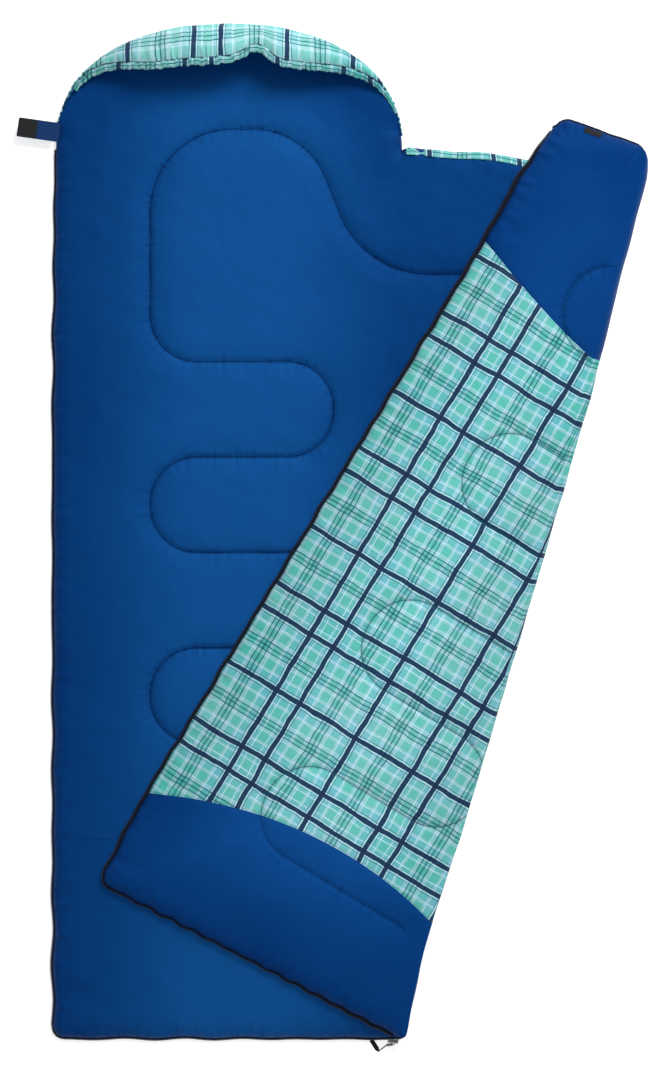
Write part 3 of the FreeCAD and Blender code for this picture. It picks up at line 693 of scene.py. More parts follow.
def plaid_cloth(name, warp_start, weft_start, painted_light_strength):
    """Printed plaid polyester: crossing stripe sets, slubs, creases and weave; painted light pales it where
    the crown mark is high, with painted shade towards the edges and in the creases.
    """
    paint = Paint(name, 0.62, 0.10, 0.02)
    u, v = paint.uv()
    place = paint.vector(u, v)
    wander = paint.math("MULTIPLY_ADD", paint.noise(place, 13.0), LINE_WANDER, -LINE_WANDER / 2)
    wander_v = paint.noise(paint.vector(v, u), 13.0)
    wander_v = paint.math("MULTIPLY_ADD", wander_v, LINE_WANDER, -LINE_WANDER / 2)
    warp = stripe_set(paint, paint.math("ADD", u, wander), warp_start)
    weft = stripe_set(paint, paint.math("ADD", v, wander_v), weft_start)
    # Painted light: the crown mark sets where the plaid is painted paler.
    crown = paint.attribute("crown")
    painted_light = paint.math("MULTIPLY", crown, painted_light_strength)
    ground = paint.mix(painted_light, paint.mix(0.5, warp[0], weft[0]), PAINTED_LIGHT_PALE)
    wear = paint.noise(place, 34.0, 3.0)
    white = paint.math("MULTIPLY", paint.math("MAXIMUM", warp[1], weft[1]),
                       paint.ramp(wear, WHITE_WEAR))
    dark = paint.math("MULTIPLY", paint.math("MAXIMUM", warp[2], weft[2]),
                      paint.ramp(wear, DARK_WEAR))
    navy = paint.math("MULTIPLY", paint.math("MAXIMUM", warp[3], weft[3]), NAVY_STRENGTH)
    both = paint.math("MULTIPLY", warp[3], weft[3])
    tone = paint.mix(white, ground, WHITE_LINE)
    blush = paint.ramp(paint.noise(place, 3.2, 2.0), BLUSH_PATCHES)
    tone = paint.mix(blush, tone, BLUSH)
    tone = paint.mix(dark, tone, DARK_LINE)
    tone = paint.mix(navy, tone, NAVY)
    tone = paint.mix(paint.math("MULTIPLY", both, 0.5), tone, CROSSING)
    threads = []
    for along, across in SLUBS:
        spot = paint.vector(paint.math("MULTIPLY", u, along), paint.math("MULTIPLY", v, across))
        threads.append(paint.noise(spot, 1.0, 2.0))
    grain = paint.math("MULTIPLY_ADD", paint.math("ADD", *threads), 0.13, 0.87)
    # Painted shade: darker towards the edges, where the crown mark is low.
    lit = paint.math("MULTIPLY_ADD", crown, 1 - PLAID_EDGE_SHADE_LEVEL, PLAID_EDGE_SHADE_LEVEL)
    grain = paint.math("MULTIPLY", grain, lit)
    tone = paint.mix(1.0, tone, paint.vector(grain, grain, grain), "MULTIPLY")
    # Painted shade in the creases and along the stitches.
    height, shade = creases(paint, *PLAID_CREASES, PLAID_THREAD_SHADE)
    tone = paint.mix(paint.math("MULTIPLY", shade, PLAID_CREASE_SHADE), tone, PLAID_CREASE_SHADE_COLOUR)
    crease_depth, dent_depth, weave_depth = PLAID_RELIEF
    normal = paint.bump(height, crease_depth)
    soft = paint.bump(paint.noise(place, 24.0), dent_depth, 1.0, normal)
    woven = paint.bump(paint.weave(u, v, PLAID_WEAVE), weave_depth, 1.0, soft)
    return paint.finish(tone, woven)


def ribbon_cloth(name, colour, pitch, roughness=0.75, ribs=0.0004):
    """Narrow woven tape, webbing or thread."""
    paint = Paint(name, roughness, 0.12, 0.04)
    place = paint.place()
    grain = paint.noise(place, 900.0, 3.0)
    light = tuple(min(1.0, value * 1.7 + 0.001) for value in colour[:3]) + (1,)
    tone = paint.mix(paint.ramp(grain, [(0.35, 0.0), (0.75, 1.0)]), colour, light)
    ribbing = paint.tree.nodes.new("ShaderNodeTexWave")
    paint.feed(ribbing.inputs["Vector"], place)
    ribbing.inputs["Scale"].default_value = 0.314 / pitch
    ribbing.bands_direction = "DIAGONAL"
    normal = paint.bump(ribbing.outputs[1], ribs, 0.6, paint.bump(grain, 0.0003))
    return paint.finish(tone, normal)


def hard_finish(name, colour, roughness, metallic):
    """Moulded plastic or die-cast metal with fine wear."""
    paint = Paint(name, roughness, 0.5, 0.0, metallic)
    place = paint.place()
    wear = paint.noise(place, 350.0, 4.0)
    bright = tuple(min(1.0, value * 1.6 + 0.008) for value in colour[:3]) + (1,)
    tone = paint.mix(paint.ramp(wear, [(0.45, 0.0), (0.7, 1.0)]), colour, bright)
    rough = paint.math("MULTIPLY_ADD", paint.noise(place, 120.0, 2.0), 0.3, roughness - 0.15)
    return paint.finish(tone, paint.bump(wear, 0.0002, 0.5), rough)


MATERIALS = {
    # The plaids' last number is the strength of the painted light that pales them where the crown mark is
    # high.
    "plaid": plaid_cloth("shell_plaid_cloth", 0.110, 0.152, 0.08),
    "hood_plaid": plaid_cloth("hood_plaid_cloth", -0.075, 0.190, 0.26),
    # Each quilted cloth gets its shaded and its lit blue, mixed as painted light, and the strength of the
    # painted shade along its stitches.
    "shell_blue": quilted_cloth("shell_blue_cloth", srgb(2, 38, 92), srgb(12, 64, 126), 0.58, 0.25, 0.0009),
    "lining": quilted_cloth("lining_satin", srgb(2, 36, 88), srgb(13, 66, 124), 0.50, 0.8, 0.0007),
    "tape": ribbon_cloth("zip_tape_weave", srgb(3, 9, 22), 0.0012),
    "coil": hard_finish("zip_coil_nylon", srgb(10, 17, 32), 0.55, 0.0),
    "metal": hard_finish("slider_enamel", srgb(70, 74, 77), 0.42, 0.85),
    "black": ribbon_cloth("black_ribbon_weave", srgb(16, 18, 20), 0.0010),
    "navy_tab": ribbon_cloth("tab_patch_weave", srgb(9, 40, 82), 0.0014),
    "hook": ribbon_cloth("hook_pile", srgb(30, 31, 30), 0.0008, 0.85, 0.0008),
    "thread": ribbon_cloth("quilting_thread", srgb(8, 40, 92), 0.0008),
    "plaid_thread": ribbon_cloth("plaid_quilting_thread", srgb(18, 108, 108), 0.0008),
}


# =====================================================================
# Outlines and fabric coordinates
# =====================================================================
def hood_outline(turn):
    """Hood floor outline and its outward direction; turn in radians from +X."""
    power = 2 / HOOD_POWER
    c, s = np.cos(turn), np.sin(turn)
    x = np.sign(c) * HOOD_HALF_WIDTH * np.abs(c) ** power
    y = HOOD_DEPTH * np.abs(s) ** power
    nx = np.sign(c) * (np.abs(x) / HOOD_HALF_WIDTH) ** (HOOD_POWER - 1) / HOOD_HALF_WIDTH
    ny = (y / HOOD_DEPTH) ** (HOOD_POWER - 1) / HOOD_DEPTH
    size = np.hypot(nx, ny)
    nx, ny = nx / size, ny / size
    middle = (LEFT_X + SIDE_X) / 2
    return middle + x, HEAD_Y + y, nx, ny


def head_row():
    """Head edge of the base from the zip edge to the side line, at equal distances."""
    turn = math.pi * (1 - np.linspace(0, 1, 4001))
    return resample(np.stack(hood_outline(turn)[:2], axis=-1), 2.0)


HEAD_ROW = head_row()
HINGE_CORNER_R = 16.0       # corner where side line, foot and slanting fold meet
HEAD_BEND_FROM = 0.66       # where the rows of the base start to curve towards the head
BASE_FOOT_CORNER_R = 24.0
BASE_FOOT_WAVE = (2.6, 3, 130)      # size, seed and wavelength
BASE_ZIP_WAVE = (2.8, 5, 150)
ALONG_X = np.array([1.0, 0.0])
ALONG_Y = np.array([0.0, 1.0])


def waver(position, wave):
    """Irregular wave given as its size, seed and wavelength."""
    size, seed, wavelength = wave
    return size * ripple(position, seed, wavelength)


def base_plan(s, t):
    """Plan of the base, s from the zip edge to the side line, t from foot to head."""
    x_straight = LEFT_X + BAG_WIDTH * s
    y_foot = FOOT_Y + waver(x_straight, BASE_FOOT_WAVE) * smooth((1 - s) * 12)
    place = np.linspace(0, 1, len(HEAD_ROW))
    x_head, y_head = np.interp(s, place, HEAD_ROW[:, 0]), np.interp(s, place, HEAD_ROW[:, 1])
    y_flat = y_foot + (HEAD_SIDE_Y - y_foot) * t
    bend = np.clip((t - HEAD_BEND_FROM) / (1 - HEAD_BEND_FROM), 0, 1) ** 1.6
    wave = waver(y_flat, BASE_ZIP_WAVE) * (1 - smooth((y_flat - 850) / 100))
    x = x_straight + (x_head - x_straight) * bend + wave * (1 - s) ** 6
    y = y_flat + (y_head - HEAD_SIDE_Y) * bend
    x, y = round_corner(x, y, np.array([LEFT_X, FOOT_Y]), ALONG_X, ALONG_Y, BASE_FOOT_CORNER_R)
    return round_corner(x, y, CORNER, -ALONG_X, FOLD_DIRECTION, HINGE_CORNER_R)


def round_corner(x, y, corner, first, second, radius):
    """Pulls the sharp corner of a grid into an arc; first and second point along its edges."""
    dx, dy = x - corner[0], y - corner[1]
    turn = cross(first, second)
    a = (dx * second[1] - dy * second[0]) / turn
    b = (first[0] * dy - first[1] * dx) / turn
    inside = (a < radius) & (b < radius)
    p = np.clip((radius - a) / radius, 0, 1)
    q = np.clip((radius - b) / radius, 0, 1)
    shift_a = np.where(inside, radius - radius * p * np.sqrt(1 - q * q / 2) - a, 0.0)
    shift_b = np.where(inside, radius - radius * q * np.sqrt(1 - p * p / 2) - b, 0.0)
    x = x + shift_a * first[0] + shift_b * second[0]
    y = y + shift_a * first[1] + shift_b * second[1]
    return x, y


FOLD_HEAD_R = 30.0          # rounding where the slanting fold meets the head edge
HEAD_SAG = [(0.0, 0), (0.18, 9), (0.31, 9), (0.42, 16), (0.52, 27), (0.75, 27), (1.0, 0)]


def through(places, at, blur=0.03):
    """Softened line through places (where, value)."""
    where, values = zip(*places)
    return sum(np.interp(at + shift, where, values) for shift in (-blur, 0.0, blur)) / 3


# Silhouette of the slanting fold, outward from its hinge line, from the hinge corner to the head.
FOLD_BULGE = [(0.0, 1), (0.06, -7), (0.12, -11), (0.17, -6), (0.23, 1),
              (0.41, 10), (0.58, 17), (0.74, 22), (0.85, 16), (1.0, 14)]
FOLD_BLUR = 0.02
ROLL_LEAST = 2.5            # least reach of the rolled cloth past the crease


def fold_shift(t):
    """How far the crease lies outward from the hinge line; negative where it is drawn in."""
    return np.minimum(through(FOLD_BULGE, t, FOLD_BLUR) - ROLL_LEAST, 0) * smooth(t / 0.04)


def fold_line(t):
    """Plan points of the crease, t from the hinge corner to the head."""
    along = (t * FOLD_LENGTH)[..., None] * FOLD_DIRECTION
    return CORNER + along + fold_shift(t)[..., None] * FOLD_OUT


def outward(x, y):
    """Distance of plan points past the crease; negative on the turned-back side."""
    dx, dy = x - CORNER[0], y - CORNER[1]
    t = (dx * FOLD_DIRECTION[0] + dy * FOLD_DIRECTION[1]) / FOLD_LENGTH
    return dx * FOLD_OUT[0] + dy * FOLD_OUT[1] - fold_shift(t)


def side_plan(a, t):
    """Plan of the opened triangle, a from the side line to the slanting fold."""
    y_side = FOOT_Y + (HEAD_SIDE_Y - FOOT_Y) * t
    fold = fold_line(t)
    x = SIDE_X + (fold[..., 0] - SIDE_X) * a
    y = y_side + (fold[..., 1] - y_side) * a - through(HEAD_SAG, a) * smooth((t - 0.55) / 0.45)
    x, y = round_corner(x, y, CORNER, -ALONG_X, FOLD_DIRECTION, HINGE_CORNER_R)
    back = np.array([SIDE_X, HEAD_SIDE_Y]) - FOLD_HEAD
    return round_corner(x, y, FOLD_HEAD, -FOLD_DIRECTION, back / np.linalg.norm(back), FOLD_HEAD_R)


def opened_plan(c, t):
    """Plan of base and triangle together: columns run 0..1 over the base and 1..2 over the triangle."""
    base_x, base_y = base_plan(np.clip(c, 0, 1), t)
    side_x, side_y = side_plan(np.clip(c - 1, 0, 1), t)
    beyond = c > 1
    return np.where(beyond, side_x, base_x), np.where(beyond, side_y, base_y)


# The turned-back zip edge bows outward: place along it and how far.
ZIP_EDGE_BULGE = [(0.0, 0), (0.1, 11), (0.45, 7), (0.8, 1), (0.88, 5), (0.94, 9), (1.0, 1)]
ZIP_EDGE_WAVE = (2.2, 11, 95)
FLAP_FOOT_WAVE = (4.2, 17, 62)
FLAP_HEAD_WAVE = (0.8, 19, 60)
FLAP_FOOT_CORNER_R = 22.0
FLAP_HEAD_CORNER_R = 24.0


def flap_plan(a, b):
    """Plan of the turned-back quilt, a from the zip edge to the fold, b from foot to head."""
    up = b * FLAP_LENGTH
    bulge = through(ZIP_EDGE_BULGE, b) + waver(up, ZIP_EDGE_WAVE)
    zip_point = FLAP_FOOT_ZIP + up[..., None] * ZIP_DIRECTION - bulge[..., None] * ZIP_INWARD
    point = zip_point + a[..., None] * (fold_line(b) - zip_point)
    foot_ruffle = waver(a * FLAP_FOOT_WIDTH, FLAP_FOOT_WAVE) * np.exp(-up / 45)
    foot_ruffle *= smooth(a * 8) * smooth((1 - a) * 8)
    head_ruffle = waver(a * HEAD_REACH, FLAP_HEAD_WAVE) * np.exp((up - FLAP_LENGTH) / 30)
    point = point + (foot_ruffle + head_ruffle)[..., None] * ZIP_DIRECTION
    x, y = point[..., 0], point[..., 1]
    along_foot = unit(FLAP_FOOT_ANGLE)
    x, y = round_corner(x, y, CORNER, along_foot, FOLD_DIRECTION, HINGE_CORNER_R)
    x, y = round_corner(x, y, FLAP_FOOT_ZIP, ZIP_DIRECTION, -along_foot, FLAP_FOOT_CORNER_R)
    x, y = round_corner(x, y, FLAP_HEAD_ZIP, -ZIP_DIRECTION, HEAD_DIRECTION, FLAP_HEAD_CORNER_R)
    return round_corner(x, y, FOLD_HEAD, -HEAD_DIRECTION, -FOLD_DIRECTION, FOLD_HEAD_R)


def top_cloth(x, y):
    """Cloth coordinates of the top quilt: across from its zip edge, and down from its head edge."""
    place = np.stack([x - FLAP_HEAD_ZIP[0], y - FLAP_HEAD_ZIP[1]], axis=-1)
    return np.stack([place @ ZIP_INWARD, -(place @ ZIP_DIRECTION)], axis=-1)


def mirrored(x, y):
    """Plan place that the cloth under the triangle would have if it were turned back with the rest."""
    out = (x - CORNER[0]) * FOLD_OUT[0] + (y - CORNER[1]) * FOLD_OUT[1]
    return x - 2 * out * FOLD_OUT[0], y - 2 * out * FOLD_OUT[1]


def seam_depth(across, depth):
    """Distance of a panel seam from its end of the bag, at each place across the cloth."""
    edge, middle, power = depth
    swing = np.abs(2 * np.clip(across / BAG_WIDTH, 0, 1) - 1)
    return edge + (middle - edge) * (1 - swing ** power)


def panel_row(a, depth, from_head):
    """Place 0..1 along the flap of a panel seam, for each place across."""
    a = np.asarray(a, dtype=float)
    cloth_axes = np.array([ZIP_INWARD, ZIP_DIRECTION])
    fold_start = cloth_axes @ (CORNER - FLAP_FOOT_ZIP)
    fold_run = FOLD_LENGTH * (cloth_axes @ FOLD_DIRECTION)
    b = np.zeros_like(a)
    for _ in range(12):
        inward = a * (fold_start[0] + b * fold_run[0])
        reach = seam_depth(inward, depth)
        upward = FLAP_LENGTH - reach if from_head else reach + inward * FOOT_SLANT
        b = (upward - a * fold_start[1]) / ((1 - a) * FLAP_LENGTH + a * fold_run[1])
    return b


# =====================================================================
# Quilting lines
# =====================================================================
def base_stitching():
    """Meander over the base lining: in from the side line, round the head, then to and fro."""
    corners = [(SIDE_X + 2 * QUILT_ROW, QUILT_SWEEP[1], 0),
               QUILT_SWEEP, QUILT_CROWN_RIGHT, QUILT_CROWN_LEFT]
    left = True
    for row in range(QUILT_ROWS):
        y = QUILT_FIRST_ROW_Y - row * QUILT_ROW
        here, there = (QUILT_LEFT_X, QUILT_RIGHT_X) if left else (QUILT_RIGHT_X, QUILT_LEFT_X)
        corners += [(here, y, QUILT_TURN_R), (there, y, QUILT_TURN_R)]
        left = not left
    return rounded_path(corners)


def flap_stitching():
    """Meander over the turned-back quilt."""
    corners = []
    for row in range(FLAP_ROWS):
        start = FLAP_FOOT_ZIP + (FLAP_FIRST_ROW + FLAP_ROW * row) * ZIP_DIRECTION
        ends = FLAP_ROW_ENDS if row % 2 else FLAP_ROW_ENDS[::-1]
        for inward in ends:
            corners.append((*(start + inward * ZIP_INWARD), QUILT_TURN_R))
    corners.append((*(start + BAG_WIDTH * ZIP_INWARD), 0))
    return rounded_path(corners)


BASE_STITCHES = base_stitching()
FLAP_STITCHES = flap_stitching()


def edge_lines(sides):
    """Evenly spaced plan lines of some edges given as (x, y)."""
    return [resample(np.stack(side, axis=-1), LINE_STEP) for side in sides]


def flap_edges():
    """Free edges of the turned-back quilt."""
    steps = np.linspace(0, 1, 400)
    zero, one = np.zeros_like(steps), np.ones_like(steps)
    return edge_lines([flap_plan(zero, steps), flap_plan(steps[::3], zero[::3]),
                       flap_plan(steps[::6], one[::6])])


def opened_edges():
    """Free edges of base and triangle, without the hood."""
    steps = np.linspace(0, 1, 400)
    zero, one = np.zeros_like(steps), np.ones_like(steps)
    turns = np.linspace(0.001, 0.16, 12)
    shoulders = [hood_outline(turn)[:2] for turn in (turns, math.pi - turns)]
    return edge_lines([base_plan(zero, steps), base_plan(steps, zero), side_plan(steps, one)]
                      + shoulders)


FLAP_EDGES = flap_edges()
OPENED_EDGES = opened_edges()


# =====================================================================
# Loft
# =====================================================================
EDGE_ROLL = 46.0            # run over which the loft rises from an edge
EDGE_ROUNDNESS = 2.2
FULL_LOFT = 0.95            # share of the loft away from stitches
LOFT_LIMIT = 1.06
STITCH_DIPS = [(0.36, 5.5), (0.34, 26.0)]           # depth as a share of the loft, reach
# Puckers beside a line: size, seed step, wavelength along it, distance from it, reach.
STITCH_PUCKERS = [(0.085, 1, 19, 12, 11)]
EDGE_PUCKERS = [(0.10, 2, 26, 16, 16), (0.07, 3, 70, 30, 34)]
HILLS = [(0.05, 4, 170), (0.022, 5, 75)]            # size, seed step, wavelength
BASE_SEED = 20
FLAP_SEED = 40
FLAP_GROOVE = 0.65          # depth of the flap's quilting beside the base's


def puckers(rows, away, along, seed):
    """Irregular puckers beside a line."""
    total = 0
    for size, step, wavelength, distance, reach in rows:
        near = np.exp(-((away - distance) / reach) ** 2)
        total = total + size * ripple(along, seed + step, wavelength) * near
    return total


def loft(x, y, edges, stitches, seed, groove):
    """Height of the padded cloth, 0..1 of the loft, marks for its material, distance to an edge."""
    edge_away, edge_along = nearest(edges, x, y)
    stitch_side, stitch_along = nearest(stitches, x, y)
    edge_away, stitch_away = np.abs(edge_away), np.abs(stitch_side)
    crown = np.clip(edge_away / EDGE_ROLL, 0, 1)
    profile = np.sqrt(np.clip(1 - (1 - crown) ** EDGE_ROUNDNESS, 0, 1))
    dip = sum(depth * np.exp(-(stitch_away / reach) ** 2) for depth, reach in STITCH_DIPS)
    stitch_gather = puckers(STITCH_PUCKERS, stitch_away, stitch_along, seed)
    edge_gather = puckers(EDGE_PUCKERS, edge_away, edge_along, seed)
    hills = sum(size * relief(x, y, seed + step, wavelength) for size, step, wavelength in HILLS)
    height = profile * (FULL_LOFT + groove * (stitch_gather - dip) + hills)
    height = height + edge_gather * smooth(edge_away / 8)
    # The crown mark is painted light: paler away from the edges, painted shade near them.
    marks = {"stitch": stitch_side * MM, "stitch_along": stitch_along * MM,
             "edge": edge_away * MM, "edge_along": edge_along * MM, "crown": smooth(edge_away / 300)}
    return np.clip(height, 0.0, LOFT_LIMIT), marks, edge_away


def opened_loft(x, y):
    """Loft of the opened quilt, base and triangle."""
    return loft(x, y, OPENED_EDGES, [BASE_STITCHES], BASE_SEED, 1.0)


def flap_loft(x, y):
    """Loft of the turned-back quilt."""
    return loft(x, y, FLAP_EDGES, [FLAP_STITCHES], FLAP_SEED, FLAP_GROOVE)


SEAM_HALF = 0.3             # half of the seam between a quilt's two cloths
GROUND_ROUNDING = 22.0      # run over which the ground side curves down from an edge
GROUND_LEAST = 0.1          # height of the ground side's flat


def ground_side(edge_away):
    """Height of a quilt's ground side, with its edges curving up to the seam."""
    crown = np.sqrt(np.clip(1 - (1 - np.clip(edge_away / GROUND_ROUNDING, 0, 1)) ** 2, 0, 1))
    return SEAM_HEIGHT - SEAM_HALF - (SEAM_HEIGHT - SEAM_HALF - GROUND_LEAST) * crown


def seen_side(height):
    """Height of a quilt's upper side over a loft of 0..1."""
    return SEAM_HEIGHT + SEAM_HALF + (TOP_Z + SEAM_HALF - SEAM_HEIGHT) * height


OPENED_SIDE_WIDTH = 340.0   # widest part of the triangle, for its grid


def opened_columns(cell):
    """Columns of the opened quilt's grid: 0..1 over the base, 1..2 over the triangle."""
    base_columns = np.linspace(0, 1, int(BAG_WIDTH / cell) + 1)
    side_columns = 1 + np.linspace(0, 1, int(OPENED_SIDE_WIDTH / cell) + 1)[1:]
    return np.concatenate([base_columns, side_columns])


BLEND_HALF = 26.0           # run each side of the side line where no quilting stitches are drawn


def blend_side(obj):
    """Bakes the piece's placement into its mesh."""
    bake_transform(obj)


LINING_LENGTH = 2000.0      # about the length up to the hood, for its grid
SHEEN_PAINT_REACH = 360.0      # from the long edges to where the painted sheen is strongest
SHEEN_PAINT_PAST_SIDE = 60.0
HOOD_SHADE = (25.0, 120.0)  # where the shade of the hood's rim ends, and its softness


def make_lining():
    """Blue lining of the base and of the opened triangle, in one cloth."""
    rows = np.linspace(0, 1, int(LINING_LENGTH / CELL) + 1)
    x, y = opened_plan(*np.meshgrid(opened_columns(CELL), rows))
    height, marks, _ = opened_loft(x, y)
    # Painted light: the lining is painted palest along the middle of the base as a painted sheen, and painted
    # with the shade of the hood's rim under it.
    from_side = np.maximum(SIDE_X + SHEEN_PAINT_PAST_SIDE - x, SHEEN_PAINT_PAST_SIDE)
    fullness = smooth(np.minimum(x - LEFT_X, from_side) / SHEEN_PAINT_REACH)
    hood_away = np.abs(nearest([HEAD_ROW[::3]], x, y)[0])
    marks["crown"] = fullness * smooth((hood_away - HOOD_SHADE[0]) / HOOD_SHADE[1])
    z = seen_side(np.minimum(height, 1.0))
    obj = slab("lining_opened", x, y, z, np.full_like(z, SEAM_HEIGHT), np.stack([x, y], axis=-1),
               MATERIALS["lining"], marks)
    enrol(obj, ["base_lining", "base_insulation", "top_side_lining", "top_side_insulation"])
    blend_side(obj)


FOLD_LIGHT_LEAST = 0.3
CREASE_SHADE = 240.0        # run from the fold over which its painted shade fades out


def fold_painted_light(x, y):
    """Share of the cloth's painted light that is left towards the slanting fold, which gets painted shade."""
    return FOLD_LIGHT_LEAST + (1 - FOLD_LIGHT_LEAST) * smooth(-outward(x, y) / CREASE_SHADE)


def underside_seam(columns, depth, from_head):
    """Row 0..1 of a panel seam for each column of the opened quilt."""
    length = HEAD_SIDE_Y - FOOT_Y
    over_base = seam_depth(columns * BAG_WIDTH, depth)
    over_base = 1 - over_base / length if from_head else over_base / length
    row = over_base
    for _ in range(16):
        x, y = side_plan(np.clip(columns - 1, 0, 1), row)
        cloth = top_cloth(*mirrored(x, y))
        reach = seam_depth(cloth[..., 0], depth)
        wanted = reach if from_head else FLAP_LENGTH - reach - cloth[..., 0] * FOOT_SLANT
        row = np.clip(row + (cloth[..., 1] - wanted) / FOLD_LENGTH, 0.01, 0.99)
    return np.where(columns > 1, row, over_base)


def make_underside(name, columns, low, high, material, nodes):
    """Part of the outer cloth that lies on the ground, between two rows given for each column."""
    count = max(4, int(np.max(high - low) * (HEAD_SIDE_Y - FOOT_Y) / UNDER_CELL))
    steps = np.linspace(0, 1, count)[:, None]
    rows = low + (high - low) * steps
    x, y = opened_plan(columns + 0 * rows, rows)
    _, marks, edge_away = opened_loft(x, y)
    z = ground_side(edge_away)
    # Painted shade towards the slanting fold.
    marks["crown"] = marks["crown"] * fold_painted_light(x, y)
    uv = top_cloth(*mirrored(x, y))
    obj = slab(name, x, y, z, np.full_like(z, SEAM_HEIGHT), uv, material, marks, up=False)
    enrol(obj, nodes)
    blend_side(obj)


def make_undersides():
    """Ground side: plain foot panel, plaid body and the plain yoke under the triangle."""
    columns = opened_columns(UNDER_CELL)
    side = int(np.searchsorted(columns, 1.0))
    foot = underside_seam(columns, FOOT_PANEL_DEPTH, False)
    yoke = underside_seam(columns, YOKE_DEPTH, True)
    yoke[side] = yoke[side + 1]
    start, end = np.zeros_like(columns), np.ones_like(columns)
    everywhere, base, triangle = slice(None), slice(0, side + 1), slice(side, None)
    pieces = [
        ("foot", everywhere, start, foot, "shell_blue", ["base_foot_panel", "top_side_foot_panel"]),
        ("body", base, foot, end, "plaid", ["base_outer_shell"]),
        ("side", triangle, foot, yoke, "plaid", ["top_side_shell"]),
        ("yoke", triangle, yoke, end, "shell_blue", ["top_side_yoke"]),
    ]
    for name, part, low, high, material, nodes in pieces:
        make_underside("underside_" + name, columns[part], low[part], high[part], MATERIALS[material],
                       nodes)


# =====================================================================
# Turned-back quilt
# =====================================================================
HEAD_DROOP = 8.0            # how far the head end sinks past the quilt under it


def overhang(x, y):
    """How far the turned-back quilt sinks where nothing lies under it."""
    part = np.clip((x - SIDE_X) / (FOLD_HEAD[0] - SIDE_X), 0, 1)
    edge = HEAD_SIDE_Y + (FOLD_HEAD[1] - HEAD_SIDE_Y) * part - through(HEAD_SAG, part)
    return HEAD_DROOP * smooth((y - edge - 8) / 60)


def flap_grid(rows, cell):
    """Plan grid of a band of the flap between two row functions of the place across."""
    columns = np.linspace(0, 1, int(FLAP_FOOT_WIDTH / cell) + 1)
    low, high = rows
    count = max(4, int(np.max(high(columns) - low(columns)) * FLAP_LENGTH / cell))
    a, s = np.meshgrid(columns, np.linspace(0, 1, count))
    return flap_plan(a, low(a) + (high(a) - low(a)) * s)


def foot_end(a):
    """Row of the foot edge."""
    return 0 * a


def head_end(a):
    """Row of the head edge."""
    return 0 * a + 1


def foot_seam(a):
    """Row of the seam between foot panel and plaid."""
    return panel_row(a, FOOT_PANEL_DEPTH, False)


def yoke_seam(a):
    """Row of the seam between plaid and head yoke."""
    return panel_row(a, YOKE_DEPTH, True)


FLAP_PANELS = [
    ("flap_foot", (foot_end, foot_seam), "shell_blue", ["flap_foot_panel"]),
    ("flap_body", (foot_seam, yoke_seam), "plaid", ["flap_shell"]),
    ("flap_head", (yoke_seam, head_end), "shell_blue", ["flap_yoke"]),
]
SEAM_DIP = (0.10, 5.0)      # depth of a panel seam as a share of the loft, and its reach
FOOT_RUFFLES = [(0.13, 0, 24, 13, 13)]
FOOT_RUFFLE_SEED = 91
CREASE_LEVELLING = 30.0     # run over which the quilt gets level towards the fold


def panel_seams():
    """Plan lines of the two panel seams."""
    a = np.linspace(0, 1, 200)
    return edge_lines(flap_plan(a, seam(a)) for seam in (foot_seam, yoke_seam))


PANEL_SEAMS = panel_seams()


def flap_height(x, y):
    """Upper surface of the turned-back quilt and the marks for its material."""
    height, marks, _ = flap_loft(x, y)
    seam_away = np.abs(nearest(PANEL_SEAMS, x, y)[0])
    depth, reach = SEAM_DIP
    height = height - depth * np.exp(-(seam_away / reach) ** 2) * np.minimum(height * 3, 1)
    foot_x, foot_y = unit(FLAP_FOOT_ANGLE)
    along_foot = (x - CORNER[0]) * foot_x + (y - CORNER[1]) * foot_y
    from_foot = (x - CORNER[0]) * foot_y - (y - CORNER[1]) * foot_x
    height = height + puckers(FOOT_RUFFLES, np.abs(from_foot), along_foot, FOOT_RUFFLE_SEED)
    height = np.clip(height, 0.0, LOFT_LIMIT)
    # Painted shade towards the slanting fold.
    marks["crown"] = marks["crown"] * fold_painted_light(x, y)
    sink = overhang(x, y)
    z = FLAP_Z + SEAM_HEIGHT + SEAM_HALF + (LOFT + 2 * SEAM_HALF - SEAM_HEIGHT) * height - sink
    level = FLAP_Z + LOFT - sink
    return z + (level - z) * smooth(1 + outward(x, y) / CREASE_LEVELLING), marks


def make_flap():
    """The three outer panels and the lining of the turned-back quilt."""
    for name, rows, material, nodes in FLAP_PANELS:
        x, y = flap_grid(rows, CELL)
        z, marks = flap_height(x, y)
        hidden = FLAP_Z + SEAM_HEIGHT - overhang(x, y)
        obj = slab(name, x, y, z, hidden, top_cloth(x, y), MATERIALS[material], marks)
        enrol(obj, nodes, "top_flap")
    x, y = flap_grid((foot_end, head_end), UNDER_CELL)
    _, marks, edge_away = flap_loft(x, y)
    base = FLAP_Z - overhang(x, y)
    obj = slab("flap_lining_under", x, y, base + ground_side(edge_away), base + SEAM_HEIGHT,
               np.stack([x, y], axis=-1), MATERIALS["lining"], marks, up=False)
    enrol(obj, ["flap_lining", "flap_insulation"], "top_flap")


FLAT_STITCH = 0.08          # distances of plain cloth from stitches and edges, in metres
FLAT_EDGE = 0.06
FLAT_PAINTED_LIGHT = 0.35


def flat_marks(count, along, edge=FLAT_EDGE, crown=FLAT_PAINTED_LIGHT):
    """Material marks of cloth that no quilting line crosses; the crown mark sets its painted light."""
    return {"stitch": np.full(count, FLAT_STITCH), "stitch_along": along, "edge": np.full(count, edge),
            "edge_along": along, "crown": crown + np.zeros(count)}


ROLL_FULLNESS = 0.8         # spare cloth round the roll, per reach
ROLL_SIDES = 15
ROLL_CELL = 6.0
ROLL_WAVE = (1.2, 23, 140)
ROLL_END = (0.965, 0.75)    # where the roll starts to shrink towards the head, and by how much
ROLL_FLATTENING = (0.985, 0.3)
ROLL_CLEARANCE = 0.2


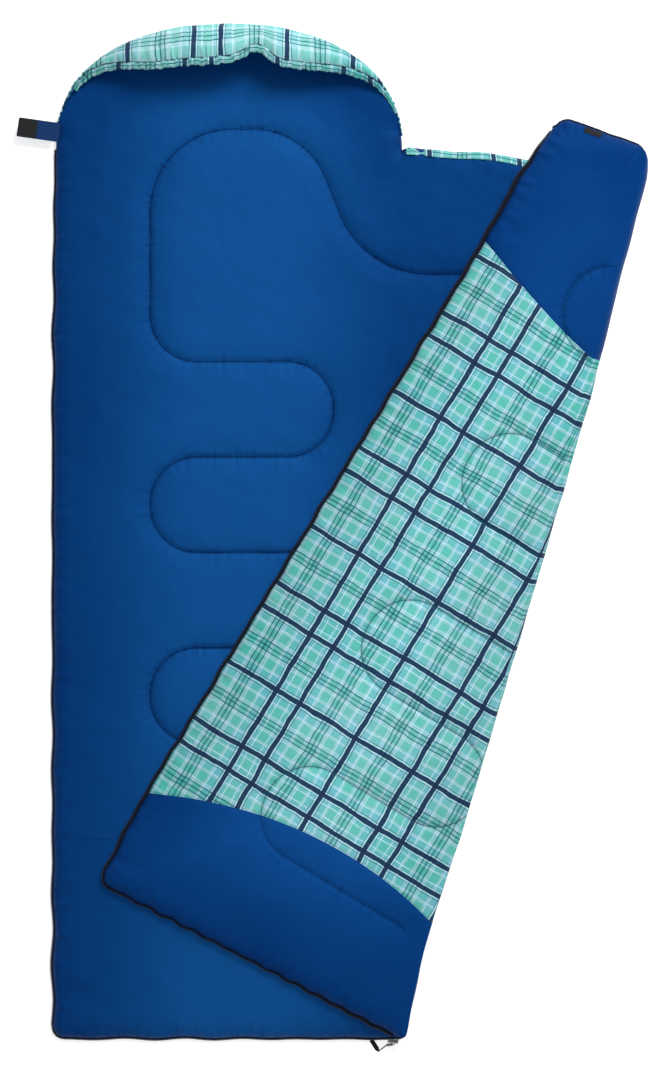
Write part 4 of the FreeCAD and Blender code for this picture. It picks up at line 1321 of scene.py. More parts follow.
def roll_surface(along, turns):
    """Points, cloth and painted light of the roll, with painted shade half way round it; turns run from the
    triangle over to the flap.
    """
    turn = turns + 0 * along
    place_x, place_y = flap_plan(np.ones_like(along), along)
    end_from, end_share = ROLL_END
    end = smooth((along - end_from) / (1 - end_from))
    bulge = through(FOLD_BULGE, along, FOLD_BLUR) - fold_shift(along)
    bulge = (bulge + waver(along * FOLD_LENGTH, ROLL_WAVE)) * (1 - end_share * end)
    out = FOLD_OUT + end[..., None] * ZIP_DIRECTION
    out = out / np.linalg.norm(out, axis=-1)[..., None]
    flat_from, flat_share = ROLL_FLATTENING
    half = FOLD_Z * (1 - flat_share * smooth((along - flat_from) / (1 - flat_from)))
    sink = overhang(place_x, place_y) * (1 - np.cos(turn)) / 2
    reach = bulge * np.sin(turn)
    z = FOLD_Z - np.cos(turn) * (half - ROLL_CLEARANCE) - sink
    points = np.stack([place_x + reach * out[..., 0], place_y + reach * out[..., 1], z], axis=-1)
    # The roll's cloth runs on from the flap on top and meets the triangle's cloth underneath.
    beneath = top_cloth(*mirrored(place_x, place_y))
    cloth = beneath + (top_cloth(place_x, place_y) - beneath) * (turn / math.pi)[..., None]
    cloth[..., 0] += ROLL_FULLNESS * np.sin(turn) * (bulge + half)
    return points, cloth, FOLD_LIGHT_LEAST * np.abs(np.cos(turn))


def make_fold_rolls():
    """Outer cloth rolling over the slanting fold, one length for each panel."""
    part = np.linspace(0, 1, ROLL_SIDES)
    crease = np.array([2.0])
    # Each panel seam runs round the roll from its row on the triangle to its row on the flap.
    foot = underside_seam(crease, FOOT_PANEL_DEPTH, False) * (1 - part) + foot_seam(1.0) * part
    yoke = underside_seam(crease, YOKE_DEPTH, True) * (1 - part) + yoke_seam(1.0) * part
    bands = [("foot", foot_end(part), foot, "shell_blue"), ("body", foot, yoke, "plaid"),
             ("head", yoke, head_end(part), "shell_blue")]
    for name, low, high, material in bands:
        steps = np.linspace(0, 1, max(6, int(np.max(high - low) * FOLD_LENGTH / ROLL_CELL)))[:, None]
        along = low + (high - low) * steps
        points, cloth, tone = roll_surface(along, math.pi * part)
        rows, cols = along.shape
        faces = grid_faces(rows, cols) + closing_faces(rows, cols)
        # The roll's crown mark paints shade half way round it.
        marks = flat_marks(rows * cols, (along * FOLD_LENGTH * MM).ravel(), crown=tone.ravel())
        obj = make_mesh("fold_roll_" + name, points.reshape(-1, 3), faces, cloth.reshape(-1, 2), marks,
                        [MATERIALS[material]])
        enrol(obj)
        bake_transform(obj)


# =====================================================================
# Hood
# =====================================================================
HOOD_STATIONS = 260
HOOD_STEPS = 30
HOOD_LOW = 0.10             # radians above the side lines where the wall starts
CHANNEL_ENDS = (0.30, 2.60)
CHANNEL_SIDES = 10
CHANNEL_R = 8.0
CHANNEL_CLOTH = (20.0, 120.0)   # where the strip is cut from the plaid
HOOD_LEAST = 0.03
HOOD_CREST = (40.0, 62.0)   # reach and height where the wall is widest
RIM_RISE = 20.0             # above that, where the wall stands upright
RIM_EASE_RIGHT = (22.0, 48.0)   # degrees where the rim starts to lean in, and over how many
RIM_EASE_LEFT = (146.0, 36.0)
RIM_DIP = (82.6, 5.0, 0.42)     # gathered notch: place, half width in degrees, depth
SPINE_SMOOTHINGS = 6
WALL_ROOT = 0.22            # share of the wall that thins from the quilt's loft
WALL_TIP = (0.8, 0.45)      # where the wall starts to thin towards the rim, and by how much
WALL_END_HALF = 0.3         # share of the thickness left where the hood runs out
WALL_END_FULL = 0.5
WALL_CREASES = [(2.6, 31, 15), (2.0, 33, 38)]
WALL_SWAY = (2.0, 37, 90)
WALL_LEAST_Z = 0.3
PALE_FROM = 0.3             # squared sine of the turn where the painted light on the plaid starts
SKIN_CORE = 0.15            # hidden face of a skin, as a share of the half thickness
RIM_EDGE = 160.0            # run of the edge mark over the wall's height; the painted edge shade falls at the rim
LINING_GATHER = 0.8
CHANNEL_STATIONS = 700
CHANNEL_FULL = 0.6
CHANNEL_FLUTTER = [(3.0, 51, 34), (1.5, 53, 13)]
FLUTTER_LEAST = 0.25
CHANNEL_BULGE = (1.2, 57, 12)
CHANNEL_THIN = 0.35         # share of its thickness at its ends
CHANNEL_EDGE = 0.004        # edge mark, in metres, which gives the strip a little painted edge shade


def rim_lean(turn):
    """How far the top of the wall leans in over the head, 0..1, at each station."""
    degrees = np.degrees(turn)
    right = smooth((degrees - RIM_EASE_RIGHT[0]) / RIM_EASE_RIGHT[1])
    left = smooth((RIM_EASE_LEFT[0] - degrees) / RIM_EASE_LEFT[1])
    dip = RIM_DIP[2] * np.exp(-((degrees - RIM_DIP[0]) / RIM_DIP[1]) ** 2)
    return np.minimum(right, left) * (1 - dip)


def hood_section(turn):
    """Wall centre line, outward and up, and half thickness, at each station."""
    fullness = np.maximum(HOOD_LEAST, np.sin(turn) ** 2)[:, None]
    spine = resample(np.array(HOOD_CURL, dtype=float), 1.0)
    length = len(spine) - 1.0
    picks = np.linspace(0, len(spine) - 1, HOOD_STEPS).astype(int)
    spine = spine[picks]
    for _ in range(SPINE_SMOOTHINGS):
        spine[1:-1] = (spine[:-2] + 2 * spine[1:-1] + spine[2:]) / 4
    past = np.arange(HOOD_STEPS) > int(np.argmax(spine[:, 0]))
    lean = rim_lean(turn)[:, None]
    s = np.where(past, HOOD_CREST[0] + (spine[:, 0] - HOOD_CREST[0]) * lean, spine[:, 0]) * fullness
    climb = np.clip(np.arange(HOOD_STEPS) - np.argmax(past), 0, None) / np.sum(past) * RIM_RISE
    z = np.where(past, HOOD_CREST[1] + (spine[:, 1] - HOOD_CREST[1]) * lean + climb * (1 - lean), spine[:, 1])
    z = HOOD_CURL[0][1] + (z - HOOD_CURL[0][1]) * fullness
    tangent_s, tangent_z = np.gradient(s, axis=1), np.gradient(z, axis=1)
    size = np.maximum(np.hypot(tangent_s, tangent_z), 1e-6)
    part = np.linspace(0, 1, HOOD_STEPS)[None, :]
    tip_from, tip_share = WALL_TIP
    half = HOOD_WALL_HALF + (LOFT / 2 - HOOD_WALL_HALF) * (1 - smooth(part / WALL_ROOT))
    half = half * (1 - tip_share * smooth((part - tip_from) / (1 - tip_from)))
    half = half * (WALL_END_HALF + (1 - WALL_END_HALF) * smooth(fullness / WALL_END_FULL))
    run = length - (1 - part) * length * fullness
    return s, z, tangent_z / size, -tangent_s / size, half, np.broadcast_to(part, s.shape), run


def hood_surface(side, gather):
    """Grid of one face of the hood wall: side 1 is outside, -1 inside, 0 the middle."""
    turn = np.linspace(HOOD_LOW, math.pi - HOOD_LOW, HOOD_STATIONS)
    s, z, ns, nz, half, part, run = hood_section(turn)
    root_x, root_y, out_x, out_y = (value[:, None] for value in hood_outline(turn))
    girth = np.cumsum(np.hypot(np.gradient(root_x[:, 0]), np.gradient(root_y[:, 0])))[:, None]
    crease = part ** 2 * sum(waver(girth, wave) for wave in WALL_CREASES)
    crease = gather * (crease + part * waver(girth + 30 * part, WALL_SWAY))
    reach = s + ns * (side * half) + crease * ns
    height = z + nz * (side * half) + crease * nz
    x, y = root_x + reach * out_x, root_y + reach * out_y
    return x, y, np.maximum(height, WALL_LEAST_Z), girth, part, run


def hood_painted_light(turn):
    """Painted light on the hood's plaid, 1 at the top, where it is painted paler, and 0 where its sides run
    out, painted darker.
    """
    return smooth((np.sin(turn) ** 2 - PALE_FROM) / (1 - PALE_FROM))


def hood_skin(name, seen_side, gather, material, nodes, fabric, painted_light):
    """Closed skin on one side of the hood wall, with its painted light at each station."""
    seen = hood_surface(seen_side, gather)
    middle = hood_surface(seen_side * SKIN_CORE, gather)
    rows, cols = seen[0].shape
    count = rows * cols
    points = np.concatenate([np.stack(face[:3], axis=-1).reshape(-1, 3) for face in (seen, middle)])
    outside = seen_side > 0
    faces = grid_faces(rows, cols, flip=not outside) + grid_faces(rows, cols, flip=outside, offset=count)
    faces += rim_faces(rows, cols, flip=not outside)
    uv = np.concatenate([fabric(*seen).reshape(-1, 2)] * 2)
    from_rim = (1 - seen[4]) * RIM_EDGE * MM
    girth = np.broadcast_to(seen[3] * MM, from_rim.shape).ravel()
    marks = flat_marks(2 * count, np.concatenate([girth] * 2))
    # Painted shade at the rim comes from the edge mark, and painted light from the crown mark.
    marks["edge"] = np.concatenate([from_rim.ravel()] * 2)
    marks["crown"] = np.tile(np.repeat(painted_light, cols), 2)
    obj = make_mesh(name, points, faces, uv, marks, [material])
    enrol(obj, nodes, "base")


def make_hood():
    """Outer wall, painted palest at the top, its lining and the gathered rim channel."""
    turn = np.linspace(HOOD_LOW, math.pi - HOOD_LOW, HOOD_STATIONS)
    hood_skin("hood_wall_outer", 1, 1.0, MATERIALS["hood_plaid"],
              ["hood_outer_shell", "hood_insulation"],
              lambda x, y, z, girth, part, run: np.stack([x, run + 0 * x], axis=-1),
              hood_painted_light(turn))
    hood_skin("hood_wall_lining", -1, LINING_GATHER, MATERIALS["lining"], ["hood_lining"],
              lambda x, y, z, girth, part, run: np.stack([x, y + z], axis=-1),
              np.full(HOOD_STATIONS, FLAT_PAINTED_LIGHT))
    make_channel()


def make_channel():
    """Gathered strip round the hood's rim, drawn up by the elastic inside it."""
    turn = np.linspace(*CHANNEL_ENDS, CHANNEL_STATIONS)
    s, z = hood_section(turn)[:2]
    root_x, root_y, out_x, out_y = hood_outline(turn)
    girth = np.cumsum(np.hypot(np.gradient(root_x), np.gradient(root_y)))
    full = smooth(np.sin(turn) ** 2 / CHANNEL_FULL)
    flutter = sum(waver(girth, wave) for wave in CHANNEL_FLUTTER)
    flutter = (FLUTTER_LEAST + (1 - FLUTTER_LEAST) * full) * flutter
    path_s = s[:, -1] - 2.0 - 6.0 * full + 0.8 * flutter
    path_z = np.maximum(z[:, -1] - 1.0 + 0.6 * flutter, TOP_Z + 1.5)
    path = np.stack([root_x + path_s * out_x, root_y + path_s * out_y, path_z], axis=-1)
    radius = CHANNEL_R + 0.2 + waver(girth, CHANNEL_BULGE)
    radius = (CHANNEL_THIN + (1 - CHANNEL_THIN) * full) * radius
    points, faces = tube(path, radius, CHANNEL_SIDES, 0.5)
    around = 2 * math.pi * np.arange(CHANNEL_SIDES) / CHANNEL_SIDES
    across = np.tile(np.cos(around), len(path)) * CHANNEL_R
    uv = np.stack([points[:, 0] + CHANNEL_CLOTH[0], CHANNEL_CLOTH[1] + across], axis=-1)
    marks = flat_marks(len(points), np.repeat(girth, CHANNEL_SIDES) * MM, CHANNEL_EDGE)
    # Painted light, as on the hood wall.
    marks["crown"] = np.repeat(hood_painted_light(turn), CHANNEL_SIDES)
    obj = make_mesh("hood_rim_channel", points, faces, uv, marks, [MATERIALS["hood_plaid"]])
    enrol(obj, ["hood_channel", "hood_elastic"], "base")


# =====================================================================
# Zip
# =====================================================================
COIL_PITCH = 2.2
COIL_R = 1.35
COIL_WIRE = 0.55
COIL_SEGMENTS = 7
COIL_FLATNESS = 0.85
TAPE_THICKNESS = 0.9
TAPE_RAILS = 5
ZIP_STEP = 5.0
BASE_TAPE = (-2.0, 2.2)     # inner and outer edge of the base's tape past the seam
BASE_COIL = 3.2
# Width of the turned-back tape past its seam, from the head down the side and round along the foot.
FLAP_TAPE = [(0.0, -1.0), (0.012, 3.0), (0.03, 7.6), (0.3, 5.4), (0.69, 5.0), (0.75, 2.2), (0.9, 2.4),
             (0.97, 6.0), (1.0, 5.0)]
FLAP_TAPE_INNER = -4.0
FLAP_COIL = 1.4             # coil line past the tape's edge
BASE_ZIP_TOP = 985.0
ZIP_SHORT = 4.0             # the base's half ends this far before the side line
FLAP_ZIP_SKIP = 10          # stations left free at the head end
FLAP_ZIP_END = 0.965


def offset_line(line, distance):
    """The plan line moved to its right."""
    return line + distance * sideways(tangents(line))[:, :2]


def coil_mesh(line):
    """Nylon coil: a helix of one wire round the line."""
    line = resample(line, COIL_PITCH / COIL_SEGMENTS)
    turn = np.arange(len(line)) * 2 * math.pi / COIL_SEGMENTS
    path = line + sideways(tangents(line)) * (COIL_R * np.cos(turn))[:, None]
    path[:, 2] += COIL_R * COIL_FLATNESS * np.sin(turn)
    return tube(path, COIL_WIRE, 4)


def tape_mesh(line, inner, outer):
    """Flat woven tape between two offsets from the line."""
    rails = [inner + (outer - inner) * step for step in np.linspace(0, 1, TAPE_RAILS)]
    plan = [offset_line(line[:, :2], np.reshape(rail, (-1, 1)) + 0 * line[:, :1]) for rail in rails]
    tops = [np.column_stack([rail, line[:, 2] + TAPE_THICKNESS / 2]) for rail in plan]
    bottoms = [np.column_stack([rail, line[:, 2] - TAPE_THICKNESS / 2]) for rail in plan[::-1]]
    ring = np.stack(tops + bottoms, axis=1)
    return ring.reshape(-1, 3), ring_faces(*ring.shape[:2])


def plain_piece(name, points, faces, material, slot, body, nodes, sharp=40):
    """Mesh piece that rides one body and stands for CAD nodes."""
    obj = make_mesh(name, points, faces, materials=[MATERIALS[material]], sharp=sharp)
    enrol(obj, nodes, body)


def make_zip():
    """Both opened halves of the zip: tape and coil down the side and along the foot."""
    steps = np.linspace(0, 1, 500)
    zero = np.zeros_like(steps)
    left = np.stack(base_plan(zero, steps), axis=-1)[::-1]
    left = left[left[:, 1] < BASE_ZIP_TOP]
    foot = np.stack(base_plan(steps, zero), axis=-1)
    foot = foot[foot[:, 0] < SIDE_X - ZIP_SHORT]
    base_line = resample(np.concatenate([left, foot[1:]]), ZIP_STEP)
    base_line = np.column_stack([base_line, np.full(len(base_line), SEAM_HEIGHT)])
    base_tape = tape_mesh(base_line, *BASE_TAPE)
    plain_piece("base_tape", *base_tape, "tape", "zip_tape", "base", ["base_zip_tape"])
    coil_line = np.column_stack([offset_line(base_line[:, :2], BASE_COIL), base_line[:, 2]])
    plain_piece("base_coil", *coil_mesh(coil_line), "coil", "zip_coil", "base", ["base_zip_coil"], 180)
    edge = np.stack(flap_plan(zero, steps), axis=-1)[::-1][FLAP_ZIP_SKIP:]
    flap_foot = np.stack(flap_plan(steps, zero), axis=-1)[steps < FLAP_ZIP_END]
    flap_line = resample(np.concatenate([edge, flap_foot[1:]]), ZIP_STEP)
    sink = overhang(flap_line[:, 0], flap_line[:, 1])
    flap_line = np.column_stack([flap_line, FLAP_Z + SEAM_HEIGHT - sink])
    travel = np.arange(len(flap_line)) * ZIP_STEP
    reach = through(FLAP_TAPE, travel / travel[-1], 0.012)
    flap_tape = tape_mesh(flap_line, FLAP_TAPE_INNER, reach)
    plain_piece("flap_tape", *flap_tape, "tape", "zip_tape", "top_flap", ["flap_zip_tape"])
    coil_line = offset_line(flap_line[:, :2], reach[:, None] + FLAP_COIL)
    coil_line = np.column_stack([coil_line, flap_line[:, 2]])
    plain_piece("flap_coil", *coil_mesh(coil_line), "coil", "zip_coil", "top_flap", ["flap_zip_coil"], 180)


# =====================================================================
# Stitches, hem, binding
# =====================================================================
STITCH_LENGTH = 2.8
STITCH_GAP = 1.2
STITCH_WIDTH = 0.9
STITCH_RISE = 0.2           # thread above the cloth
# Corners of one stitch: along in stitch lengths, across in widths, up in millimetres.
STITCH_POINTS = [(-0.5, 0.0, -0.6), (-0.3, 0.5, -0.2), (-0.3, -0.5, -0.2), (-0.3, 0.0, 0.35),
                 (0.3, 0.5, -0.2), (0.3, -0.5, -0.2), (0.3, 0.0, 0.35), (0.5, 0.0, -0.6)]
STITCH_FACES = [(0, 2, 3), (0, 3, 1), (0, 1, 2), (1, 3, 6, 4), (3, 2, 5, 6), (2, 1, 4, 5),
                (4, 6, 7), (6, 5, 7), (5, 4, 7)]
TOPSTITCH_SHIFT = 3.0       # rows of topstitching beside a panel seam
TOPSTITCH_END = 6.0
FLAP_STITCH_END = 40.0


def stitch_run(line, height):
    """Row of separate stitches along a plan line, at given heights."""
    pitch = STITCH_LENGTH + STITCH_GAP
    line = resample(np.column_stack([line, height]), pitch)
    tangent = tangents(line)
    side = sideways(tangent)
    points = []
    for forward, across, up in STITCH_POINTS:
        point = line + tangent * (forward * STITCH_LENGTH) + side * (across * STITCH_WIDTH)
        points.append(point + np.array([0, 0, up]))
    points = np.stack(points, axis=1).reshape(-1, 3)
    corners = len(STITCH_POINTS)
    faces = [[corner + corners * row for corner in face] for row in range(len(line)) for face in STITCH_FACES]
    return points, faces


def make_stitches():
    """Visible quilting thread on the base, the triangle and the turned-back quilt."""
    line = BASE_STITCHES
    z = seen_side(opened_loft(line[:, 0], line[:, 1])[0]) + STITCH_RISE
    on_base = line[:, 0] < SIDE_X - BLEND_HALF
    plain_piece("base_stitches", *stitch_run(line[on_base], z[on_base]), "thread", "stitching", "base",
                ["base_quilting_thread"])
    on_side = line[:, 0] > SIDE_X + BLEND_HALF
    plain_piece("side_stitches", *stitch_run(line[on_side], z[on_side]), "thread", "stitching", "top_side",
                ["top_side_quilting_thread"])
    line = FLAP_STITCHES
    line = line[(line - CORNER) @ FOLD_OUT < -FLAP_STITCH_END]
    z, _ = flap_height(line[:, 0], line[:, 1])
    plain_piece("flap_stitches", *stitch_run(line, z + STITCH_RISE), "plaid_thread", "stitching", "top_flap",
                ["flap_quilting_thread"])
    seams = []
    for seam in PANEL_SEAMS:
        for shift in (-TOPSTITCH_SHIFT, TOPSTITCH_SHIFT):
            row = offset_line(seam, shift)
            row = row[(row - CORNER) @ FOLD_OUT < -TOPSTITCH_END]
            z, _ = flap_height(row[:, 0], row[:, 1])
            seams.append(stitch_run(row, z + STITCH_RISE))
    plain_piece("panel_topstitching", *joined(seams), "thread", "stitching", "top_flap", [])


# =====================================================================
# Head trims
# =====================================================================
HEM_WIDTH = 17.0
HEM_SPAN = (0.006, 0.66)
HEM_CLOTH = (1.02, 26.0, 128.0)  # spare cloth, and where the strip is cut from the plaid
HEM_GATHER_REACH = 55.0     # run beside the hood over which the hem is gathered
HEM_PINCH = (36.0, 6.0)     # where it is pinched, and over how much
HEM_RISE = 12.5             # height of the roll over the edge
HEM_WAVES = [(2.6, 61, 70), (2.2, 63, 17)]      # everywhere, and where it is gathered
HEM_WRINKLES = [(0.35, 69, 16), (0.9, 67, 9)]
BINDING_STEP = 4.0
BINDING_WAVE = (0.12, 71, 14)
BINDING_ENDS = (0.984, 0.985)   # along the zip edge where it starts, across the head where it ends
TRIM_EDGE = 0.02            # edge mark of the small trims, in metres
BINDING_R = 2.4
LOOP_PATCH = (38.0, 12.5)
LOOP_FROM_CORNER = 55.0
LOOP_FROM_EDGE = 3.5
LOOP_RISE = 1.3             # top of the pile above the cloth
LOOP_PILE = (0.35, 73, 3.4)     # relief of the pile: size, seed, wavelength
TAB_ROOT = np.array([-366.0, 997.0])
TAB_LENGTH = 90.0
TAB_WIDTH = 41.0
TAB_ANGLE = 172.0
TAB_THICKNESS = 1.3
TAB_RISE = 1.8              # webbing's face above the base
HOOK_LENGTH = 42.0
HOOK_RISE = 2.7             # hook pile above the base
TAB_SEAM = 3.0              # stitches inside the tab's edges
TAB_BOX = (9.0, 43.0)       # stitched box near the sewn end
TAB_EASE = (0.05, 4.0)      # how much narrower its ends are, and over what length
TAB_WAVE = (0.3, 11.0)      # height of its curl, and its run for one radian
TAB_GRAIN = (81, 3.0)       # seed and wavelength of its relief
WEBBING_GRAIN = 0.05
HOOK_PILE = 0.22


def make_hem():
    """Patterned strip inside the head edge of the opened triangle, gathered beside the hood."""
    a, d = np.meshgrid(np.linspace(*HEM_SPAN, 150), np.linspace(0, 1, 9))
    x, edge_y = side_plan(a, np.ones_like(a))
    run = x - SIDE_X
    gather = np.exp(-(run / HEM_GATHER_REACH) ** 2)
    pinch = np.exp(-((run - HEM_PINCH[0]) / HEM_PINCH[1]) ** 2)
    rise, wrinkle = (waver(run, everywhere) + gather * waver(run, gathered)
                     for everywhere, gathered in (HEM_WAVES, HEM_WRINKLES))
    rise = rise - 5.0 * pinch
    y = edge_y + rise * (1 - d) - d * (HEM_WIDTH - 4.0 * pinch)
    roll = np.sin(np.clip(d * 1.25, 0, 1) * math.pi / 2)
    z = SEAM_HEIGHT + 2.0 + (HEM_RISE + wrinkle) * roll + 2.0 * gather - 2.5 * pinch
    z = np.maximum(z, SEAM_HEIGHT + 1.5)
    fullness, cut_x, cut_y = HEM_CLOTH
    uv = np.stack([x * fullness + cut_x, cut_y - d * HEM_WIDTH], axis=-1)
    marks = flat_marks(x.size, (run * MM).ravel(), TRIM_EDGE)
    hidden = np.full_like(z, SEAM_HEIGHT + 2 * SEAM_HALF)
    obj = slab("head_hem", x, y, z, hidden, uv, MATERIALS["hood_plaid"], marks, up=False)
    enrol(obj, ["top_side_head_hem"], "top_side")


def make_binding():
    """Black binding round the turned-back head edge, from the zip's end to the fold."""
    corner = np.linspace(BINDING_ENDS[0], 1, 14)
    across = np.linspace(0, BINDING_ENDS[1], 90)[1:]
    plan = np.concatenate([
        np.stack(flap_plan(np.zeros_like(corner), corner), axis=-1),
        np.stack(flap_plan(across, np.ones_like(across)), axis=-1),
    ])
    plan = resample(plan, BINDING_STEP)
    height = FLAP_Z + SEAM_HEIGHT + 0.5 - overhang(plan[:, 0], plan[:, 1])
    path = np.column_stack([plan, height])
    radius = BINDING_R * (1 + waver(np.arange(len(path)) * BINDING_STEP, BINDING_WAVE))
    points, faces = tube(path, radius, 10)
    plain_piece("head_binding", points, faces, "black", "black_ribbon", "top_flap", ["flap_head_binding"])


def make_loop_patch():
    """Small loop patch sewn near the head edge of the turned-back quilt."""
    inward = LOOP_FROM_CORNER + np.linspace(0, LOOP_PATCH[0], 22)
    down = LOOP_FROM_EDGE + np.linspace(0, LOOP_PATCH[1], 9)
    i, d = np.meshgrid(inward, down)
    down_x, down_y = unit(ZIP_EDGE_ANGLE - FLAP_HEAD_TURN - 90)
    x = FLAP_HEAD_ZIP[0] + i * HEAD_DIRECTION[0] + d * down_x
    y = FLAP_HEAD_ZIP[1] + i * HEAD_DIRECTION[1] + d * down_y
    surface, _ = flap_height(x, y)
    z = surface + LOOP_RISE + LOOP_PILE[0] * relief(x, y, *LOOP_PILE[1:])
    marks = flat_marks(x.size, (i * MM).ravel(), TRIM_EDGE)
    uv = np.stack([i, d], axis=-1)
    obj = slab("loop_patch", x, y, z, surface + STITCH_RISE, uv, MATERIALS["hook"], marks, up=False)
    enrol(obj, ["flap_loop_patch"], "top_flap")


def tab_strip(name, start, rise, pile, material, node):
    """Strip of the closure tab from a distance along it to its free end."""
    end, width = TAB_LENGTH, TAB_WIDTH
    steps = np.linspace(start, end, 44)
    rails = np.linspace(-0.5, 0.5, 21)
    s, w = np.meshgrid(steps, rails)
    forward, side = unit(TAB_ANGLE), unit(TAB_ANGLE + 90)
    ends = np.minimum(s - start, end - s)
    narrow = 1 - TAB_EASE[0] * (1 - smooth(ends / TAB_EASE[1]))
    x = TAB_ROOT[0] + s * forward[0] + w * width * narrow * side[0]
    y = TAB_ROOT[1] + s * forward[1] + w * width * narrow * side[1]
    wave = TAB_WAVE[0] * np.sin(s / TAB_WAVE[1]) * w
    z = TOP_Z + rise + wave + pile * relief(x, y, *TAB_GRAIN)
    hidden = TOP_Z + rise + wave - TAB_THICKNESS
    obj = slab(name, x, y, z, hidden, np.stack([s, w * width], axis=-1), MATERIALS[material],
               flat_marks(x.size, (s * MM).ravel(), TRIM_EDGE), up=False)
    enrol(obj, [node], "head_tab")


def make_tab():
    """Closure tab with its hook patch and the stitching that holds it."""
    hook_start = TAB_LENGTH - HOOK_LENGTH
    tab_strip("tab_webbing", 0.0, TAB_RISE, WEBBING_GRAIN, "navy_tab", "closure_tab")
    tab_strip("tab_hooks", hook_start, HOOK_RISE, HOOK_PILE, "hook", "closure_hook_patch")
    forward, side = unit(TAB_ANGLE), unit(TAB_ANGLE + 90)
    runs = []
    half = TAB_WIDTH / 2 - TAB_SEAM
    boxes = [(hook_start + TAB_SEAM, TAB_LENGTH - TAB_SEAM, TOP_Z + HOOK_RISE + 0.3),
             (*TAB_BOX, TOP_Z + TAB_RISE + STITCH_RISE)]
    for low, high, z in boxes:
        ring = [(low, -half), (high, -half), (high, half), (low, half), (low, -half)]
        line = np.array([TAB_ROOT + s * forward + w * side for s, w in ring])
        line = resample(line, STITCH_LENGTH)
        runs.append(stitch_run(line, np.full(len(line), z)))
    plain_piece("tab_stitches", *joined(runs), "thread", "stitching", "head_tab", [])


# =====================================================================
# Slider, pull and ribbon
# =====================================================================
SLIDER_X = 350.0
SLIDER_LENGTH = 22.0
SLIDER_NEAR = 1.2           # plates start this far outside the foot edge
SLIDER_FAR = 12.0
SLIDER_BOTTOM = 5.0
SLIDER_PLATE = 1.4
SLIDER_GAP = 3.2
PULL_ROOT = np.array([350.0, -962.3])
PULL_EYE = np.array([337.0, -963.5])
PULL_TIP = np.array([319.0, -977.0])
RIBBON_END = np.array([303.5, -953.0])
SLIDER_TAIL = 2.2           # how much narrower each side of its narrow end is
SLIDER_WAIST = (8.0, 1.2)   # how far from that end, and how much narrower each side is there
SLIDER_MOUTH = (3.0, 2.5)   # cut of the corners at its wide end
SLIDER_EASE = 0.4
WEDGE_ENDS = (5.0, 1.0)     # from the wide end
WEDGE_SHIFT = 4.2
WEDGE_WIDTHS = (2.0, 3.4)
WEDGE_PAST = 0.6            # how far its ends stand above the bottoms of the two plates
BRIDGE_REACH = 7.0
BRIDGE_RISE = 1.5
BRIDGE_WIRE = 1.1
RING_R = 3.1
RING_MIDDLE = 2.3           # from the pull's root
RING_HEIGHT = (4.4, 0.9)    # middle, and how much it tilts
RING_WIRE = 0.75
PULL_HEIGHTS = (2.2, 3.8)
PULL_WIDTHS = (4.6, 6.2)
PULL_EASE = 0.35
RIM_WIDTHS = (2.2, 3.4)
RIM_WIRE = 0.4
STRAND_SHIFT = 0.9          # each strand of the doubled line beside its middle
STRAND_CLOSING = 0.6        # share of that lost towards the tip
STRAND_HEIGHT = (1.2, 0.35)
STRAND_WIRE = 0.62
KNOT_RUN = np.array([0.8, 1.4])
KNOT_HEIGHT = 1.5
KNOT_WIRE = 0.9
RIBBON_NECK = (0.45, 0.22)  # share of its width at the knot, and share of its length that widens
RIBBON_RIBS = (0.12, 1.5)   # height and pitch
RIBBON_CURL = (0.35, 2.6)   # height and half turns
RIBBON_HEIGHT = 1.35
RIBBON_BOTTOM = 0.3
RIBBON_WIDTH = 9.4


def prism_mesh(outline, low, high, inset=0.5):
    """Upright solid over a plan outline with its two rims eased inward."""
    outline = np.asarray(outline, dtype=float)
    middle = outline.mean(axis=0)
    reach = np.linalg.norm(outline - middle, axis=1)[:, None]
    shrunk = middle + (outline - middle) * (1 - inset / reach)
    levels = [(shrunk, low), (outline, low + inset), (outline, high - inset), (shrunk, high)]
    count = len(outline)
    points = np.concatenate([np.column_stack([ring, np.full(count, z)]) for ring, z in levels])
    return points, [face[::-1] for face in ring_faces(len(levels), count)]


def rounded_outline(corners, radius):
    """Closed plan outline with rounded corners."""
    corners = [np.array(corner, dtype=float) for corner in corners]
    points = []
    for index, corner in enumerate(corners):
        back = corners[index - 1] - corner
        ahead = corners[(index + 1) % len(corners)] - corner
        start = corner + back / np.linalg.norm(back) * radius
        end = corner + ahead / np.linalg.norm(ahead) * radius
        for step in np.linspace(0, 1, 6):
            points.append((1 - step) ** 2 * start + 2 * step * (1 - step) * corner + step ** 2 * end)
    return np.array(points)


def bar(start, end, near_width, far_width):
    """Corners of a tapered bar between two plan points."""
    direction = (end - start) / np.linalg.norm(end - start)
    side = np.array([-direction[1], direction[0]])
    return [start - side * near_width / 2, end - side * far_width / 2,
            end + side * far_width / 2, start + side * near_width / 2]


